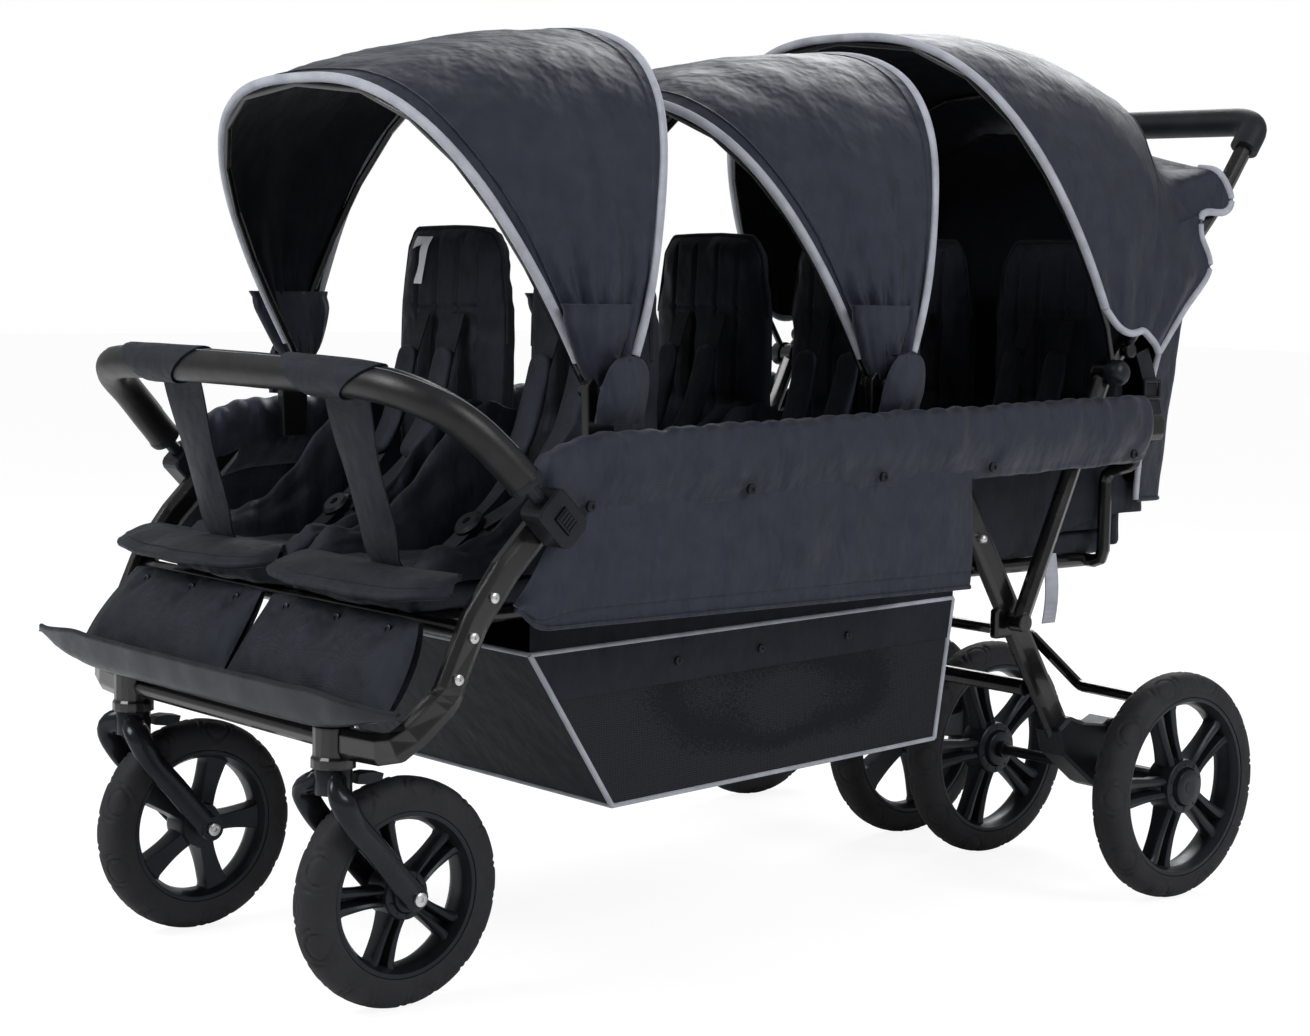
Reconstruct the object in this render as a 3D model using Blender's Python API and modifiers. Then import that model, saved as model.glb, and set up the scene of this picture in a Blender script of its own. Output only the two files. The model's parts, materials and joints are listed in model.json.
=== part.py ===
"""Six-seat stroller: three rows of two seats on a tubular frame, two castors, four rear wheels.

Run it with: blender --background --python part.py
Metres, +Z up. The front faces -Y and the left side is +X. The origin is on the ground, in the middle.
"""

import math

import bmesh
import bpy
from mathutils import Matrix, Vector

# Overall: from the tray's front lip to the back of the grip
HALF_LENGTH = 0.7645

# Clearances
GAP = 0.0003
RUNNING = 0.0006

# Front wheels and castors
FRONT_WHEEL_RADIUS = 0.127
FRONT_WHEEL_WIDTH = 0.045
FRONT_RIM_RADIUS = 0.0914
FRONT_HUB_RADIUS = 0.028
CASTOR_X = 0.212
CASTOR_Y = -0.6985
CASTOR_TRAIL = 0.083
HOUSING_RADIUS = 0.0245
HOUSING_BOTTOM = 0.274
HOUSING_TOP = 0.324
STEM_RADIUS = 0.008
FORK_INSIDE = 0.031
FORK_BAND = (0.012, 0.030)
FORK_CROWN_Z = 0.255
SWIVEL_LOCK_PIVOT = (CASTOR_Y + 0.0322, FORK_CROWN_Z + 0.003)
AXLE_RADIUS = 0.006
FRONT_BEAM_RADIUS = 0.011
FRONT_BEAM_Z = 0.303

# Rear wheels, two on each side of the rear legs
REAR_WHEEL_RADIUS = 0.1476
REAR_WHEEL_WIDTH = 0.044
REAR_RIM_RADIUS = 0.1166
REAR_HUB_RADIUS = 0.036
REAR_AXLE_Y = 0.480
REAR_WHEEL_INNER_X = 0.0765
REAR_WHEEL_OUTER_X = 0.402
REAR_AXLE_RADIUS = 0.0075

# Wheel details
WHEEL_STEPS = 20
SPOKES = 5
RIM_WALL = 0.013
HUB_LENGTH = 0.046
HUB_CAP_LENGTH = 0.005

# Side frames
SIDE_X = 0.340
OVAL = (0.018, 0.036)
RAIL_FRONT = (-0.475, 0.586)
RAIL_REAR = (0.500, 0.610)
CLAMP_AT = (-0.530, 0.545)
FRONT_TUBE = ((-0.646, 0.360), (-0.611, 0.437), (-0.571, 0.489))
FRONT_TUBE_BEND = 0.040

# Seat rails and the tubes that carry them
SEAT_RAIL_X = 0.235
SEAT_RAIL_RADIUS = 0.010
CROSS_TUBE_Y = -0.610
HANGER_Y = 0.484
HANGER_X = 0.2680
HANGER_BEND_Z = 0.553
HANGER_RADIUS = 0.009

# Rear legs, folding about a bolt at the top rail
LEG_X = 0.270
LEG_PIVOT = (0.155, 0.597)
LEG_FOOT = (0.412, 0.192)
PIVOT_PIN_RADIUS = 0.006
LEG_CROSS_TUBE = (0.346, 0.268)
LEG_CROSS_RADIUS = 0.011
BRACKET_X = (0.246, 0.290)
BRAKE_PIVOT = (0.490, 0.205)
BRAKE_BAR_Y = 0.545
BRAKE_BAR_RADIUS = 0.008
BRAKE_HIGH_Z = 0.302
BRAKE_LOW_Z = 0.240
BRAKE_END_X = 0.3005

# Handle
HANDLE_X = 0.2955
HANDLE_PIVOT = (0.290, 0.362)
HANDLE_KNEE = (0.440, 0.680)
HANDLE_NECK = (0.662, 0.906)
HANDLE_TUBE_RADIUS = 0.0115
GRIP_RADIUS = 0.0195
HANDLE_BAR = (HALF_LENGTH - GRIP_RADIUS, 1.018)
GRIP_LENGTH_DOWN = 0.045
PIVOT_BORE = PIVOT_PIN_RADIUS + RUNNING

# Bumper bar
BUMPER_RADIUS = 0.020
BUMPER_FRONT = (-0.687, 0.686)
BUMPER_CORNER_X = 0.255

# Seats
ROW_Y = (-0.305, 0.125, 0.520)
SEAT_DEPTH = (0.325, 0.300, 0.270)
SEAT_HALF_WIDTH = 0.255
SEAT_TOP = 0.472
SEAT_THICK = 0.036
LIP = 0.012
BACK_WIDTH = 0.240
BACK_CENTRE_X = 0.134
BACK_TOP = 0.858
BACK_THICK = 0.026

# Canopies: pivot y, z, then half-width, height and tilt of the front and rear bows
BOW_RADIUS = 0.0045
CANOPY_PIVOTS = ((-0.420, 0.672), (0.015, 0.672))
CANOPY_FRONT_BOW = (0.283, 0.382, 30.0)
CANOPY_REAR_BOW = (0.3185, 0.432, -21.0)
CLOTH = 0.0022
SOCKET_X = (0.2985, 0.3105)
HOOD_FRONT_BOW = (0.322, 0.472, 26.0)
HOOD_BACK_BOW = (0.318, 0.372, -18.0)
HOOD_ARM_X = 0.3125
HOOD_BACK_PIVOT = (HANDLE_KNEE[0] + 0.028, HANDLE_KNEE[1] + 0.0285)

# Cloth parts
SURROUND_REAR = 0.582
SURROUND_TOP = 0.600
PANEL_FRONT_Y = -0.552
PANEL_REAR_Y = 0.128
PANEL_BOTTOM = 0.424
PANEL_THICK = 0.006
PANEL_X = 0.354
ROLL_X = 0.348
ROLL_SECTION = (0.040, 0.088)
ROLL_FRONT = (-0.497, 0.563)
ROLL_REAR_Y = 0.466
BASKET_HALF_WIDTH = 0.2478
BASKET_TOP = ((-0.465, 0.378), (0.215, 0.394))
BASKET_BOTTOM = ((-0.343, 0.194), (0.188, 0.216))
BASKET_SPLIT_Y = 0.000
BASKET_WALL = 0.003
TRAY_HALF_WIDTH = 0.380
TRAY_FRONT = -HALF_LENGTH
TRAY_WALL = 0.004
CALF_WIDTH = 0.288
CALF_CENTRE_X = 0.150

COLOURS = {
    "black_tube": ((0.020, 0.020, 0.022), 0.30, 0.7),
    "black_plastic": ((0.022, 0.022, 0.024), 0.45, 0.0),
    "tyre_rubber": ((0.045, 0.045, 0.048), 0.80, 0.0),
    "anthracite_cloth": ((0.040, 0.042, 0.052), 0.85, 0.0),
    "black_cloth": ((0.016, 0.016, 0.018), 0.90, 0.0),
    "basket_mesh": ((0.020, 0.020, 0.022), 0.90, 0.0),
    "stitched_cover": ((0.024, 0.024, 0.028), 0.55, 0.0),
}


def clear_scene():
    """Remove every object, so that the file can be run again in the same session."""
    for old in list(bpy.data.objects):
        bpy.data.objects.remove(old, do_unlink=True)


def new_collection(name):
    """Make a collection in the scene."""
    made = bpy.data.collections.new(name)
    bpy.context.scene.collection.children.link(made)
    return made


clear_scene()
PARTS = new_collection("six_seat_stroller")
CUTTERS = new_collection("cutters")


def finish_material(name):
    """Return the Principled material for one of the named finishes."""
    found = bpy.data.materials.get(name)
    if found:
        return found
    colour, roughness, metallic = COLOURS[name]
    made = bpy.data.materials.new(name)
    made.use_nodes = True
    shader = made.node_tree.nodes["Principled BSDF"]
    shader.inputs["Base Color"].default_value = (*colour, 1.0)
    shader.inputs["Roughness"].default_value = roughness
    shader.inputs["Metallic"].default_value = metallic
    return made


def weld(mesh):
    """Merge doubles, then turn every face outwards."""
    bm = bmesh.new()
    bm.from_mesh(mesh)
    bmesh.ops.remove_doubles(bm, verts=bm.verts, dist=0.00001)
    bmesh.ops.recalc_face_normals(bm, faces=bm.faces)
    bm.to_mesh(mesh)
    bm.free()


def realise(source, name):
    """Turn an object with its modifiers or its curve settings into a plain welded mesh object."""
    graph = bpy.context.evaluated_depsgraph_get()
    mesh = bpy.data.meshes.new_from_object(source.evaluated_get(graph))
    mesh.transform(source.matrix_world)
    bpy.data.objects.remove(source, do_unlink=True)
    weld(mesh)
    made = bpy.data.objects.new(name, mesh)
    PARTS.objects.link(made)
    return made


def mesh_object(name, bm):
    """Make an object from a bmesh, its faces turned outwards."""
    bmesh.ops.recalc_face_normals(bm, faces=bm.faces)
    mesh = bpy.data.meshes.new(name)
    bm.to_mesh(mesh)
    bm.free()
    made = bpy.data.objects.new(name, mesh)
    PARTS.objects.link(made)
    return made


def curve_object(name, points, cyclic=False, flat=False):
    """Make a poly spline through the points."""
    curve = bpy.data.curves.new(name, "CURVE")
    curve.dimensions = "2D" if flat else "3D"
    curve.render_resolution_u = 0
    spline = curve.splines.new("POLY")
    spline.points.add(len(points) - 1)
    for place, point in zip(spline.points, points):
        place.co = (*point, 0.0, 1.0) if flat else (*point, 1.0)
    spline.use_cyclic_u = cyclic
    made = bpy.data.objects.new(name, curve)
    PARTS.objects.link(made)
    return made


def rounded(corners, radius, steps=2):
    """Return a path through the corners, with an arc of about the radius at each inner one."""
    path = [Vector(corners[0])]
    for before, corner, after in zip(corners, corners[1:], corners[2:]):
        corner = Vector(corner)
        back = (Vector(before) - corner)
        ahead = (Vector(after) - corner)
        turn = back.angle(ahead)
        reach = min(radius / math.tan(turn / 2), back.length * 0.48, ahead.length * 0.48)
        start = corner + back.normalized() * reach
        end = corner + ahead.normalized() * reach
        for k in range(steps + 1):
            t = k / steps
            path.append(start * (1 - t) ** 2 + corner * 2 * t * (1 - t) + end * t ** 2)
    path.append(Vector(corners[-1]))
    return path


def tube(name, points, radius, resolution=2, caps=True):
    """Sweep a round tube along the points."""
    made = curve_object(name, points)
    made.data.bevel_depth = radius
    made.data.bevel_resolution = resolution
    made.data.use_fill_caps = caps
    return realise(made, name)


def oval_outline(thin, wide, steps=3):
    """Return the outline of a flat-oval section, thin across and wide along its second axis."""
    half = thin / 2
    straight = wide / 2 - half
    ends = [(half, straight, 0.0), (half, -straight, math.pi)]
    points = []
    for radius, shift, start in ends:
        for k in range(steps + 1):
            turn = start + math.pi * k / steps
            points.append((radius * math.cos(turn), shift + radius * math.sin(turn)))
    return points


def oval_tube(name, points, section, steps=3):
    """Sweep a flat-oval section along the points, its wide side upright."""
    guide = curve_object(name + "_section", oval_outline(*section, steps), cyclic=True, flat=True)
    made = curve_object(name, points)
    made.data.twist_mode = "Z_UP"
    made.data.bevel_mode = "OBJECT"
    made.data.bevel_object = guide
    made.data.use_fill_caps = True
    bpy.context.view_layer.update()
    solid = realise(made, name)
    bpy.data.objects.remove(guide, do_unlink=True)
    return solid


def plate(name, outline, thickness, placing):
    """Extrude a flat outline and place it; the outline lies in the local X-Y plane."""
    made = curve_object(name, outline, cyclic=True, flat=True)
    made.data.fill_mode = "BOTH"
    made.data.extrude = thickness / 2
    made.matrix_world = placing
    bpy.context.view_layer.update()
    return realise(made, name)


def facing_x(x, y=0.0, z=0.0):
    """Place a flat outline so that its first axis is Y, its second Z and its thickness lies along X."""
    turn = Matrix(((0, 0, 1), (1, 0, 0), (0, 1, 0))).to_4x4()
    return Matrix.Translation((x, y, z)) @ turn


def facing_y(x, y, z):
    """Place a flat outline so that its first axis is X, its second Z and its thickness lies along Y."""
    turn = Matrix(((1, 0, 0), (0, 0, -1), (0, 1, 0))).to_4x4()
    return Matrix.Translation((x, y, z)) @ turn


def cylinder(name, radius, start, end, sides=12):
    """Add a closed cylinder between two points."""
    start = Vector(start)
    end = Vector(end)
    bm = bmesh.new()
    bmesh.ops.create_cone(bm, cap_ends=True, segments=sides, radius1=radius, radius2=radius,
                          depth=(end - start).length)
    turn = (end - start).to_track_quat("Z", "Y").to_matrix().to_4x4()
    bmesh.ops.transform(bm, matrix=Matrix.Translation((start + end) / 2) @ turn, verts=bm.verts)
    return mesh_object(name, bm)


def box(name, low, high, bevel=0.0):
    """Add a box between two corners, with its edges rounded if a bevel is given."""
    low = Vector(low)
    high = Vector(high)
    bm = bmesh.new()
    bmesh.ops.create_cube(bm, size=1.0)
    scale = Matrix.Diagonal((*(high - low), 1.0))
    bmesh.ops.transform(bm, matrix=Matrix.Translation((low + high) / 2) @ scale, verts=bm.verts)
    if bevel:
        bmesh.ops.bevel(bm, geom=bm.edges, offset=bevel, segments=1, affect="EDGES")
    return mesh_object(name, bm)


def turned(name, profile, steps=WHEEL_STEPS):
    """Turn a closed profile of (x, radius) points about the X axis through the origin."""
    bm = bmesh.new()
    corners = [bm.verts.new((x, 0.0, -radius)) for x, radius in profile]
    for first, second in zip(corners, corners[1:] + corners[:1]):
        bm.edges.new((first, second))
    made = mesh_object(name, bm)
    screw = made.modifiers.new("turn", "SCREW")
    screw.axis = "X"
    screw.steps = steps
    screw.render_steps = steps
    screw.use_merge_vertices = True
    screw.merge_threshold = 0.0001
    bpy.context.view_layer.update()
    return realise(made, name)


def combine(target, others, operation="UNION"):
    """Join others to the target, or cut them from it, and return the target as one plain mesh."""
    for other in others:
        other.name = f"{target.name}_{operation.lower()}_tool"
        PARTS.objects.unlink(other)
        CUTTERS.objects.link(other)
        other.hide_render = True
        other.display_type = "WIRE"
        modifier = target.modifiers.new(operation.lower(), "BOOLEAN")
        modifier.operation = operation
        modifier.solver = "EXACT"
        modifier.object = other
    bpy.context.view_layer.update()
    name = target.name
    solid = realise(target, name)
    for other in others:
        bpy.data.objects.remove(other, do_unlink=True)
    return solid


def moved(source, offset):
    """Shift an object's mesh."""
    source.data.transform(Matrix.Translation(offset))
    return source


def copy_of(source, name, offset=(0.0, 0.0, 0.0)):
    """Copy an object with a mesh of its own, shifted by the offset."""
    made = bpy.data.objects.new(name, source.data.copy())
    made.data.transform(Matrix.Translation(offset))
    PARTS.objects.link(made)
    return made


def mirrored(source, name):
    """Copy an object to the other side of the stroller."""
    made = copy_of(source, name)
    made.data.transform(Matrix.Diagonal((-1.0, 1.0, 1.0, 1.0)))
    made.data.flip_normals()
    return made


def both_sides(build, stem):
    """Build the left piece with the function given and mirror it to the right."""
    left = build(stem + "_left")
    return left, mirrored(left, stem + "_right")


BODIES = {}


def body(name, pivot=(0.0, 0.0, 0.0), carrier=None):
    """Add the empty that stands for one moving body, on its joint's axis."""
    made = bpy.data.objects.new("body_" + name, None)
    made.empty_display_size = 0.03
    PARTS.objects.link(made)
    BODIES[name] = (made, Vector(pivot))
    made.location = pivot
    if carrier:
        holder, place = BODIES[carrier]
        made.parent = holder
        made.location = Vector(pivot) - place
    return made


def give(piece, body_name, finish, smooth=35.0):
    """Hand a finished piece to its body and give it its material and shading."""
    holder, place = BODIES[body_name]
    piece.data.transform(Matrix.Translation(-place))
    piece.parent = holder
    piece.data.materials.clear()
    piece.data.materials.append(finish_material(finish))
    piece.data.shade_smooth()
    piece.data.set_sharp_from_angle(angle=math.radians(smooth))
    return piece


def arch(half_width, height, tilt, share, roundness):
    """Return a point on a canopy bow, in x, y and z from its pivot; share runs from 0 to 1."""
    turn = math.pi * share
    across = math.copysign(abs(math.cos(turn)) ** (2 / roundness), math.cos(turn))
    up = max(math.sin(turn), 0.0) ** (2 / roundness)
    lean = math.radians(tilt)
    return Vector((half_width * across, -height * up * math.sin(lean), height * up * math.cos(lean)))


def spoke_block(inner, outer, foot, head, low, high):
    """Return a tapered double-rib spoke that points up, with a groove along its outer face."""
    waist = (inner + outer) / 2
    half_foot = foot / 2
    half_head = head / 2
    half_waist = half_foot * 0.92
    outline = [(half_foot, inner), (half_waist, waist), (half_head, outer),
               (-half_head, outer), (-half_waist, waist), (-half_foot, inner)]
    spoke = plate("spoke", outline, high - low, facing_x((low + high) / 2))
    end = outer - 0.009
    slot = [(0.0025, inner + 0.010), (0.0050, end), (-0.0050, end), (-0.0025, inner + 0.010)]
    groove = plate("groove", slot, 0.016, facing_x(high))
    return combine(spoke, [groove], "DIFFERENCE")


def rim(name, rim_radius, hub_radius, half_width, bore):
    """Build a rim: a barrel with a bead on each edge, a hub with a raised cap, and double-rib spokes."""
    inner = rim_radius - RIM_WALL
    bead = inner + 0.006
    barrel = [(-half_width, rim_radius), (-half_width, bead), (-half_width * 0.45, inner),
              (half_width * 0.45, inner), (half_width, bead), (half_width, rim_radius)]
    made = turned(name, barrel)
    hub_half = HUB_LENGTH / 2
    cap = hub_half + HUB_CAP_LENGTH
    hub = turned("hub", [(-hub_half, bore), (-hub_half, hub_radius * 0.8), (-hub_half * 0.6, hub_radius),
                         (hub_half * 0.6, hub_radius), (hub_half, hub_radius * 0.8),
                         (cap, hub_radius * 0.62), (cap, bore)], 12)
    pieces = [hub]
    for k in range(SPOKES):
        spoke = spoke_block(hub_radius * 0.85, inner + 0.004, hub_radius * 0.80, hub_radius * 1.05,
                            -half_width * 0.55, half_width * 0.62)
        spoke.data.transform(Matrix.Rotation(2 * math.pi * (k + 0.25) / SPOKES, 4, "X"))
        pieces.append(spoke)
    return combine(made, pieces)


def tyre(name, radius, rim_radius, half_width):
    """Build a tyre with flat bead, round shoulders and a slightly flat tread."""
    seat = rim_radius + GAP
    profile = [(-half_width * 0.80, seat), (-half_width, seat + 0.012), (-half_width * 0.90, radius - 0.011),
               (-half_width * 0.42, radius), (half_width * 0.42, radius), (half_width * 0.90, radius - 0.011),
               (half_width, seat + 0.012), (half_width * 0.80, seat)]
    return turned(name, profile)


def wheel(body_name, label, centre, radius, rim_mesh, tyre_mesh, carrier, outward):
    """Place one wheel's rim and tyre on its own body; outward is the side that its hub cap faces."""
    body(body_name, centre, carrier)
    for stem, source, finish in (("rim_", rim_mesh, "black_plastic"), ("tyre_", tyre_mesh, "tyre_rubber")):
        piece = copy_of(source, stem + label)
        if outward < 0:
            piece.data.transform(Matrix.Rotation(math.pi, 4, "Z"))
        moved(piece, centre)
        give(piece, body_name, finish)


def castor_fork(name):
    """Build the left castor fork: an arched band for its two arms, stem, axle and bolt heads."""
    axle = Vector((CASTOR_X, CASTOR_Y + CASTOR_TRAIL, FRONT_WHEEL_RADIUS))
    arm_x = FORK_INSIDE + FORK_BAND[0] / 2
    half = FORK_BAND[1] / 2
    foot = [(axle.y + half * math.cos(turn), axle.z + half * math.sin(turn))
            for turn in [math.radians(angle) for angle in (20, -15, -50, -85, -120, -155, -190)]]
    arm = [*foot, (CASTOR_Y - 0.012, FORK_CROWN_Z - 0.022), (CASTOR_Y - 0.017, FORK_CROWN_Z - 0.006),
           (CASTOR_Y - 0.012, FORK_CROWN_Z + 0.006), (CASTOR_Y + 0.030, FORK_CROWN_Z + 0.004),
           (CASTOR_Y + 0.046, FORK_CROWN_Z - 0.014)]
    crown = [(CASTOR_Y - 0.014, FORK_CROWN_Z - 0.010), (CASTOR_Y - 0.010, FORK_CROWN_Z + 0.009),
             (CASTOR_Y + 0.022, FORK_CROWN_Z + 0.009), (CASTOR_Y + 0.024, FORK_CROWN_Z + 0.001),
             (CASTOR_Y + 0.010, FORK_CROWN_Z - 0.008)]
    made = plate(name, crown, 2 * FORK_INSIDE + FORK_BAND[0], facing_x(CASTOR_X))
    made = combine(made, [plate("arm", arm, FORK_BAND[0], facing_x(CASTOR_X + s * arm_x)) for s in (-1, 1)])
    stem = cylinder("stem", STEM_RADIUS, (CASTOR_X, CASTOR_Y, FORK_CROWN_Z - 0.012),
                    (CASTOR_X, CASTOR_Y, HOUSING_TOP - 0.012))
    boss = cylinder("boss", STEM_RADIUS * 2.2, (CASTOR_X, CASTOR_Y, FORK_CROWN_Z - 0.008),
                    (CASTOR_X, CASTOR_Y, HOUSING_BOTTOM - GAP), 16)
    bolt_x = arm_x + FORK_BAND[0] / 2 + 0.004
    bolt = cylinder("bolt", AXLE_RADIUS, (axle.x - bolt_x, axle.y, axle.z), (axle.x + bolt_x, axle.y, axle.z))
    heads = [cylinder("head", 0.0115, (axle.x + s * (bolt_x - 0.006), axle.y, axle.z),
                      (axle.x + s * bolt_x, axle.y, axle.z), 12) for s in (-1, 1)]
    return combine(made, [stem, boss, bolt, *heads])


def swivel_lever(name):
    """Build the left swivel-lock lever, a small flap behind the fork's crown."""
    y, z = SWIVEL_LOCK_PIVOT
    outline = [(-0.008, -0.004), (0.006, -0.006), (0.024, -0.003), (0.026, 0.004), (0.008, 0.007), (-0.006, 0.006)]
    return plate(name, outline, 0.020, facing_x(CASTOR_X, y, z))


def front_beam(name):
    """Build the front cross tube with the two castor housings and their bores."""
    made = cylinder(name, FRONT_BEAM_RADIUS, (-CASTOR_X, CASTOR_Y, FRONT_BEAM_Z), (CASTOR_X, CASTOR_Y, FRONT_BEAM_Z))
    housings = []
    bores = []
    for side in (-1, 1):
        x = side * CASTOR_X
        housing = turned("housing", [(HOUSING_BOTTOM, 0.0), (HOUSING_BOTTOM, HOUSING_RADIUS),
                                     (HOUSING_BOTTOM + 0.010, HOUSING_RADIUS), (HOUSING_BOTTOM + 0.013, HOUSING_RADIUS - 0.002),
                                     (HOUSING_TOP - 0.006, HOUSING_RADIUS - 0.002), (HOUSING_TOP, HOUSING_RADIUS - 0.008),
                                     (HOUSING_TOP, 0.0)], 16)
        housing.data.transform(Matrix.Translation((x, CASTOR_Y, 0.0)) @ Matrix.Rotation(-math.pi / 2, 4, "Y"))
        housings.append(housing)
        bores.append(cylinder("bore", STEM_RADIUS + RUNNING, (x, CASTOR_Y, HOUSING_BOTTOM - 0.01),
                              (x, CASTOR_Y, HOUSING_TOP - 0.010), 14))
    return combine(combine(made, housings), bores, "DIFFERENCE")


def oval_path():
    """Return the centre line of the left side frame, from the castor housing to the rear end."""
    start = CASTOR_X + HOUSING_RADIUS - 0.002 + GAP
    corners = [(start, CASTOR_Y, FRONT_BEAM_Z), (SIDE_X - 0.026, CASTOR_Y + 0.010, FRONT_BEAM_Z + 0.001)]
    corners += [(SIDE_X, y, z) for y, z in (*FRONT_TUBE, RAIL_FRONT, RAIL_REAR)]
    return rounded(corners, FRONT_TUBE_BEND)


def side_frame(name):
    """Build the left side frame: one bent flat-oval tube with its canopy sockets and leg pivot."""
    made = oval_tube(name, oval_path(), OVAL)
    extras = []
    for y, z in CANOPY_PIVOTS:
        outline = [(-0.016, -0.088), (0.016, -0.088), (0.020, 0.006), (0.011, 0.017), (-0.011, 0.017), (-0.020, 0.006)]
        middle = (SOCKET_X[0] + SOCKET_X[1]) / 2
        extras.append(plate("socket", outline, SOCKET_X[1] - SOCKET_X[0], facing_x(middle, y, z)))
        extras.append(cylinder("stud", PIVOT_PIN_RADIUS, (middle, y, rail_z(y)), (SIDE_X, y, rail_z(y))))
    y, z = LEG_PIVOT
    extras.append(cylinder("pin", PIVOT_PIN_RADIUS, (LEG_X - OVAL[0] / 2 - 0.002, y, z), (SIDE_X, y, z)))
    made = combine(made, extras)
    bores = [cylinder("bore", AXLE_RADIUS + RUNNING, (SOCKET_X[0] - 0.01, y, z), (SOCKET_X[1] + 0.01, y, z), 16)
             for y, z in CANOPY_PIVOTS]
    return combine(made, bores, "DIFFERENCE")


def rail_z(y):
    """Return the height of the top rail's centre line at y."""
    share = (y - RAIL_FRONT[0]) / (RAIL_REAR[0] - RAIL_FRONT[0])
    return RAIL_FRONT[1] + share * (RAIL_REAR[1] - RAIL_FRONT[1])


def side_cover(name):
    """Build the left padded roll over the top rail, with the cloth panel that hangs from it."""
    stations = 21
    path = [Vector((ROLL_X, ROLL_FRONT[0], ROLL_FRONT[1] + 0.010)), Vector((ROLL_X, -0.470, 0.5885))]
    first = -0.445
    for k in range(stations):
        y = first + (ROLL_REAR_Y - first) * k / (stations - 1)
        path.append(Vector((ROLL_X, y, rail_z(y))))
    guide = curve_object(name + "_section", oval_outline(*ROLL_SECTION), cyclic=True, flat=True)
    made = curve_object(name, path)
    made.data.twist_mode = "Z_UP"
    made.data.bevel_mode = "OBJECT"
    made.data.bevel_object = guide
    made.data.use_fill_caps = True
    for k, place in enumerate(made.data.splines[0].points):
        place.radius = 1.0 - 0.055 * abs(math.cos(math.pi * k / 5)) ** 6
    made.data.splines[0].points[0].radius = 0.80
    made.data.splines[0].points[len(path) - 1].radius = 0.86
    bpy.context.view_layer.update()
    roll = realise(made, name)
    bpy.data.objects.remove(guide, do_unlink=True)
    rows = []
    for k in range(13):
        y = PANEL_FRONT_Y + (PANEL_REAR_Y - PANEL_FRONT_Y) * k / 12
        low = PANEL_BOTTOM + (0.030 if k == 0 else 0.010 if k == 1 else 0.0)
        high = rail_z(max(y, RAIL_FRONT[0])) - 0.012
        if k < 2:
            high = 0.500
        row = []
        for j in range(4):
            t = j / 3
            fold = 0.0035 * math.sin(k * 1.9) * (1 - t) + 0.002 * math.sin(k * 0.8 + 1.0)
            row.append(Vector((PANEL_X + fold, y, low + (high - low) * t)))
        rows.append(row)
    made = combine(roll, [sheet("panel", rows, PANEL_THICK)])
    cutters = [oval_tube("hole", [Vector((SIDE_X, p.y, p.z)) for p in hole_path()], (OVAL[0] + 0.001, OVAL[1] + 0.001))]
    studs = [(y, rail_z(y)) for y, z in CANOPY_PIVOTS] + [LEG_PIVOT]
    for y, z in studs:
        cutters.append(cylinder("stud_hole", PIVOT_PIN_RADIUS + 0.0005, (0.300, y, z), (SIDE_X, y, z), 16))
    return combine(made, cutters, "DIFFERENCE")


def hole_path():
    """Return the part of the side frame's centre line that runs inside the roll, and a little past it."""
    full = oval_path()
    kept = [p for p in full if p.y > FRONT_TUBE[2][0] - 0.02]
    kept[-1] = kept[-1] + Vector((0.0, 0.02, 0.0008))
    return kept


def sheet(name, rows, thickness, even=True):
    """Thicken a grid of points into a closed sheet, half of the thickness on each side."""
    bm = bmesh.new()
    grid = [[bm.verts.new(point) for point in row] for row in rows]
    for here, there in zip(grid, grid[1:]):
        for a, b, c, d in zip(here, here[1:], there[1:], there):
            bm.faces.new((a, b, c, d))
    made = mesh_object(name, bm)
    solid = made.modifiers.new("thickness", "SOLIDIFY")
    solid.thickness = thickness
    solid.offset = 0.0
    solid.use_even_offset = even
    bpy.context.view_layer.update()
    return realise(made, name)


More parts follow.
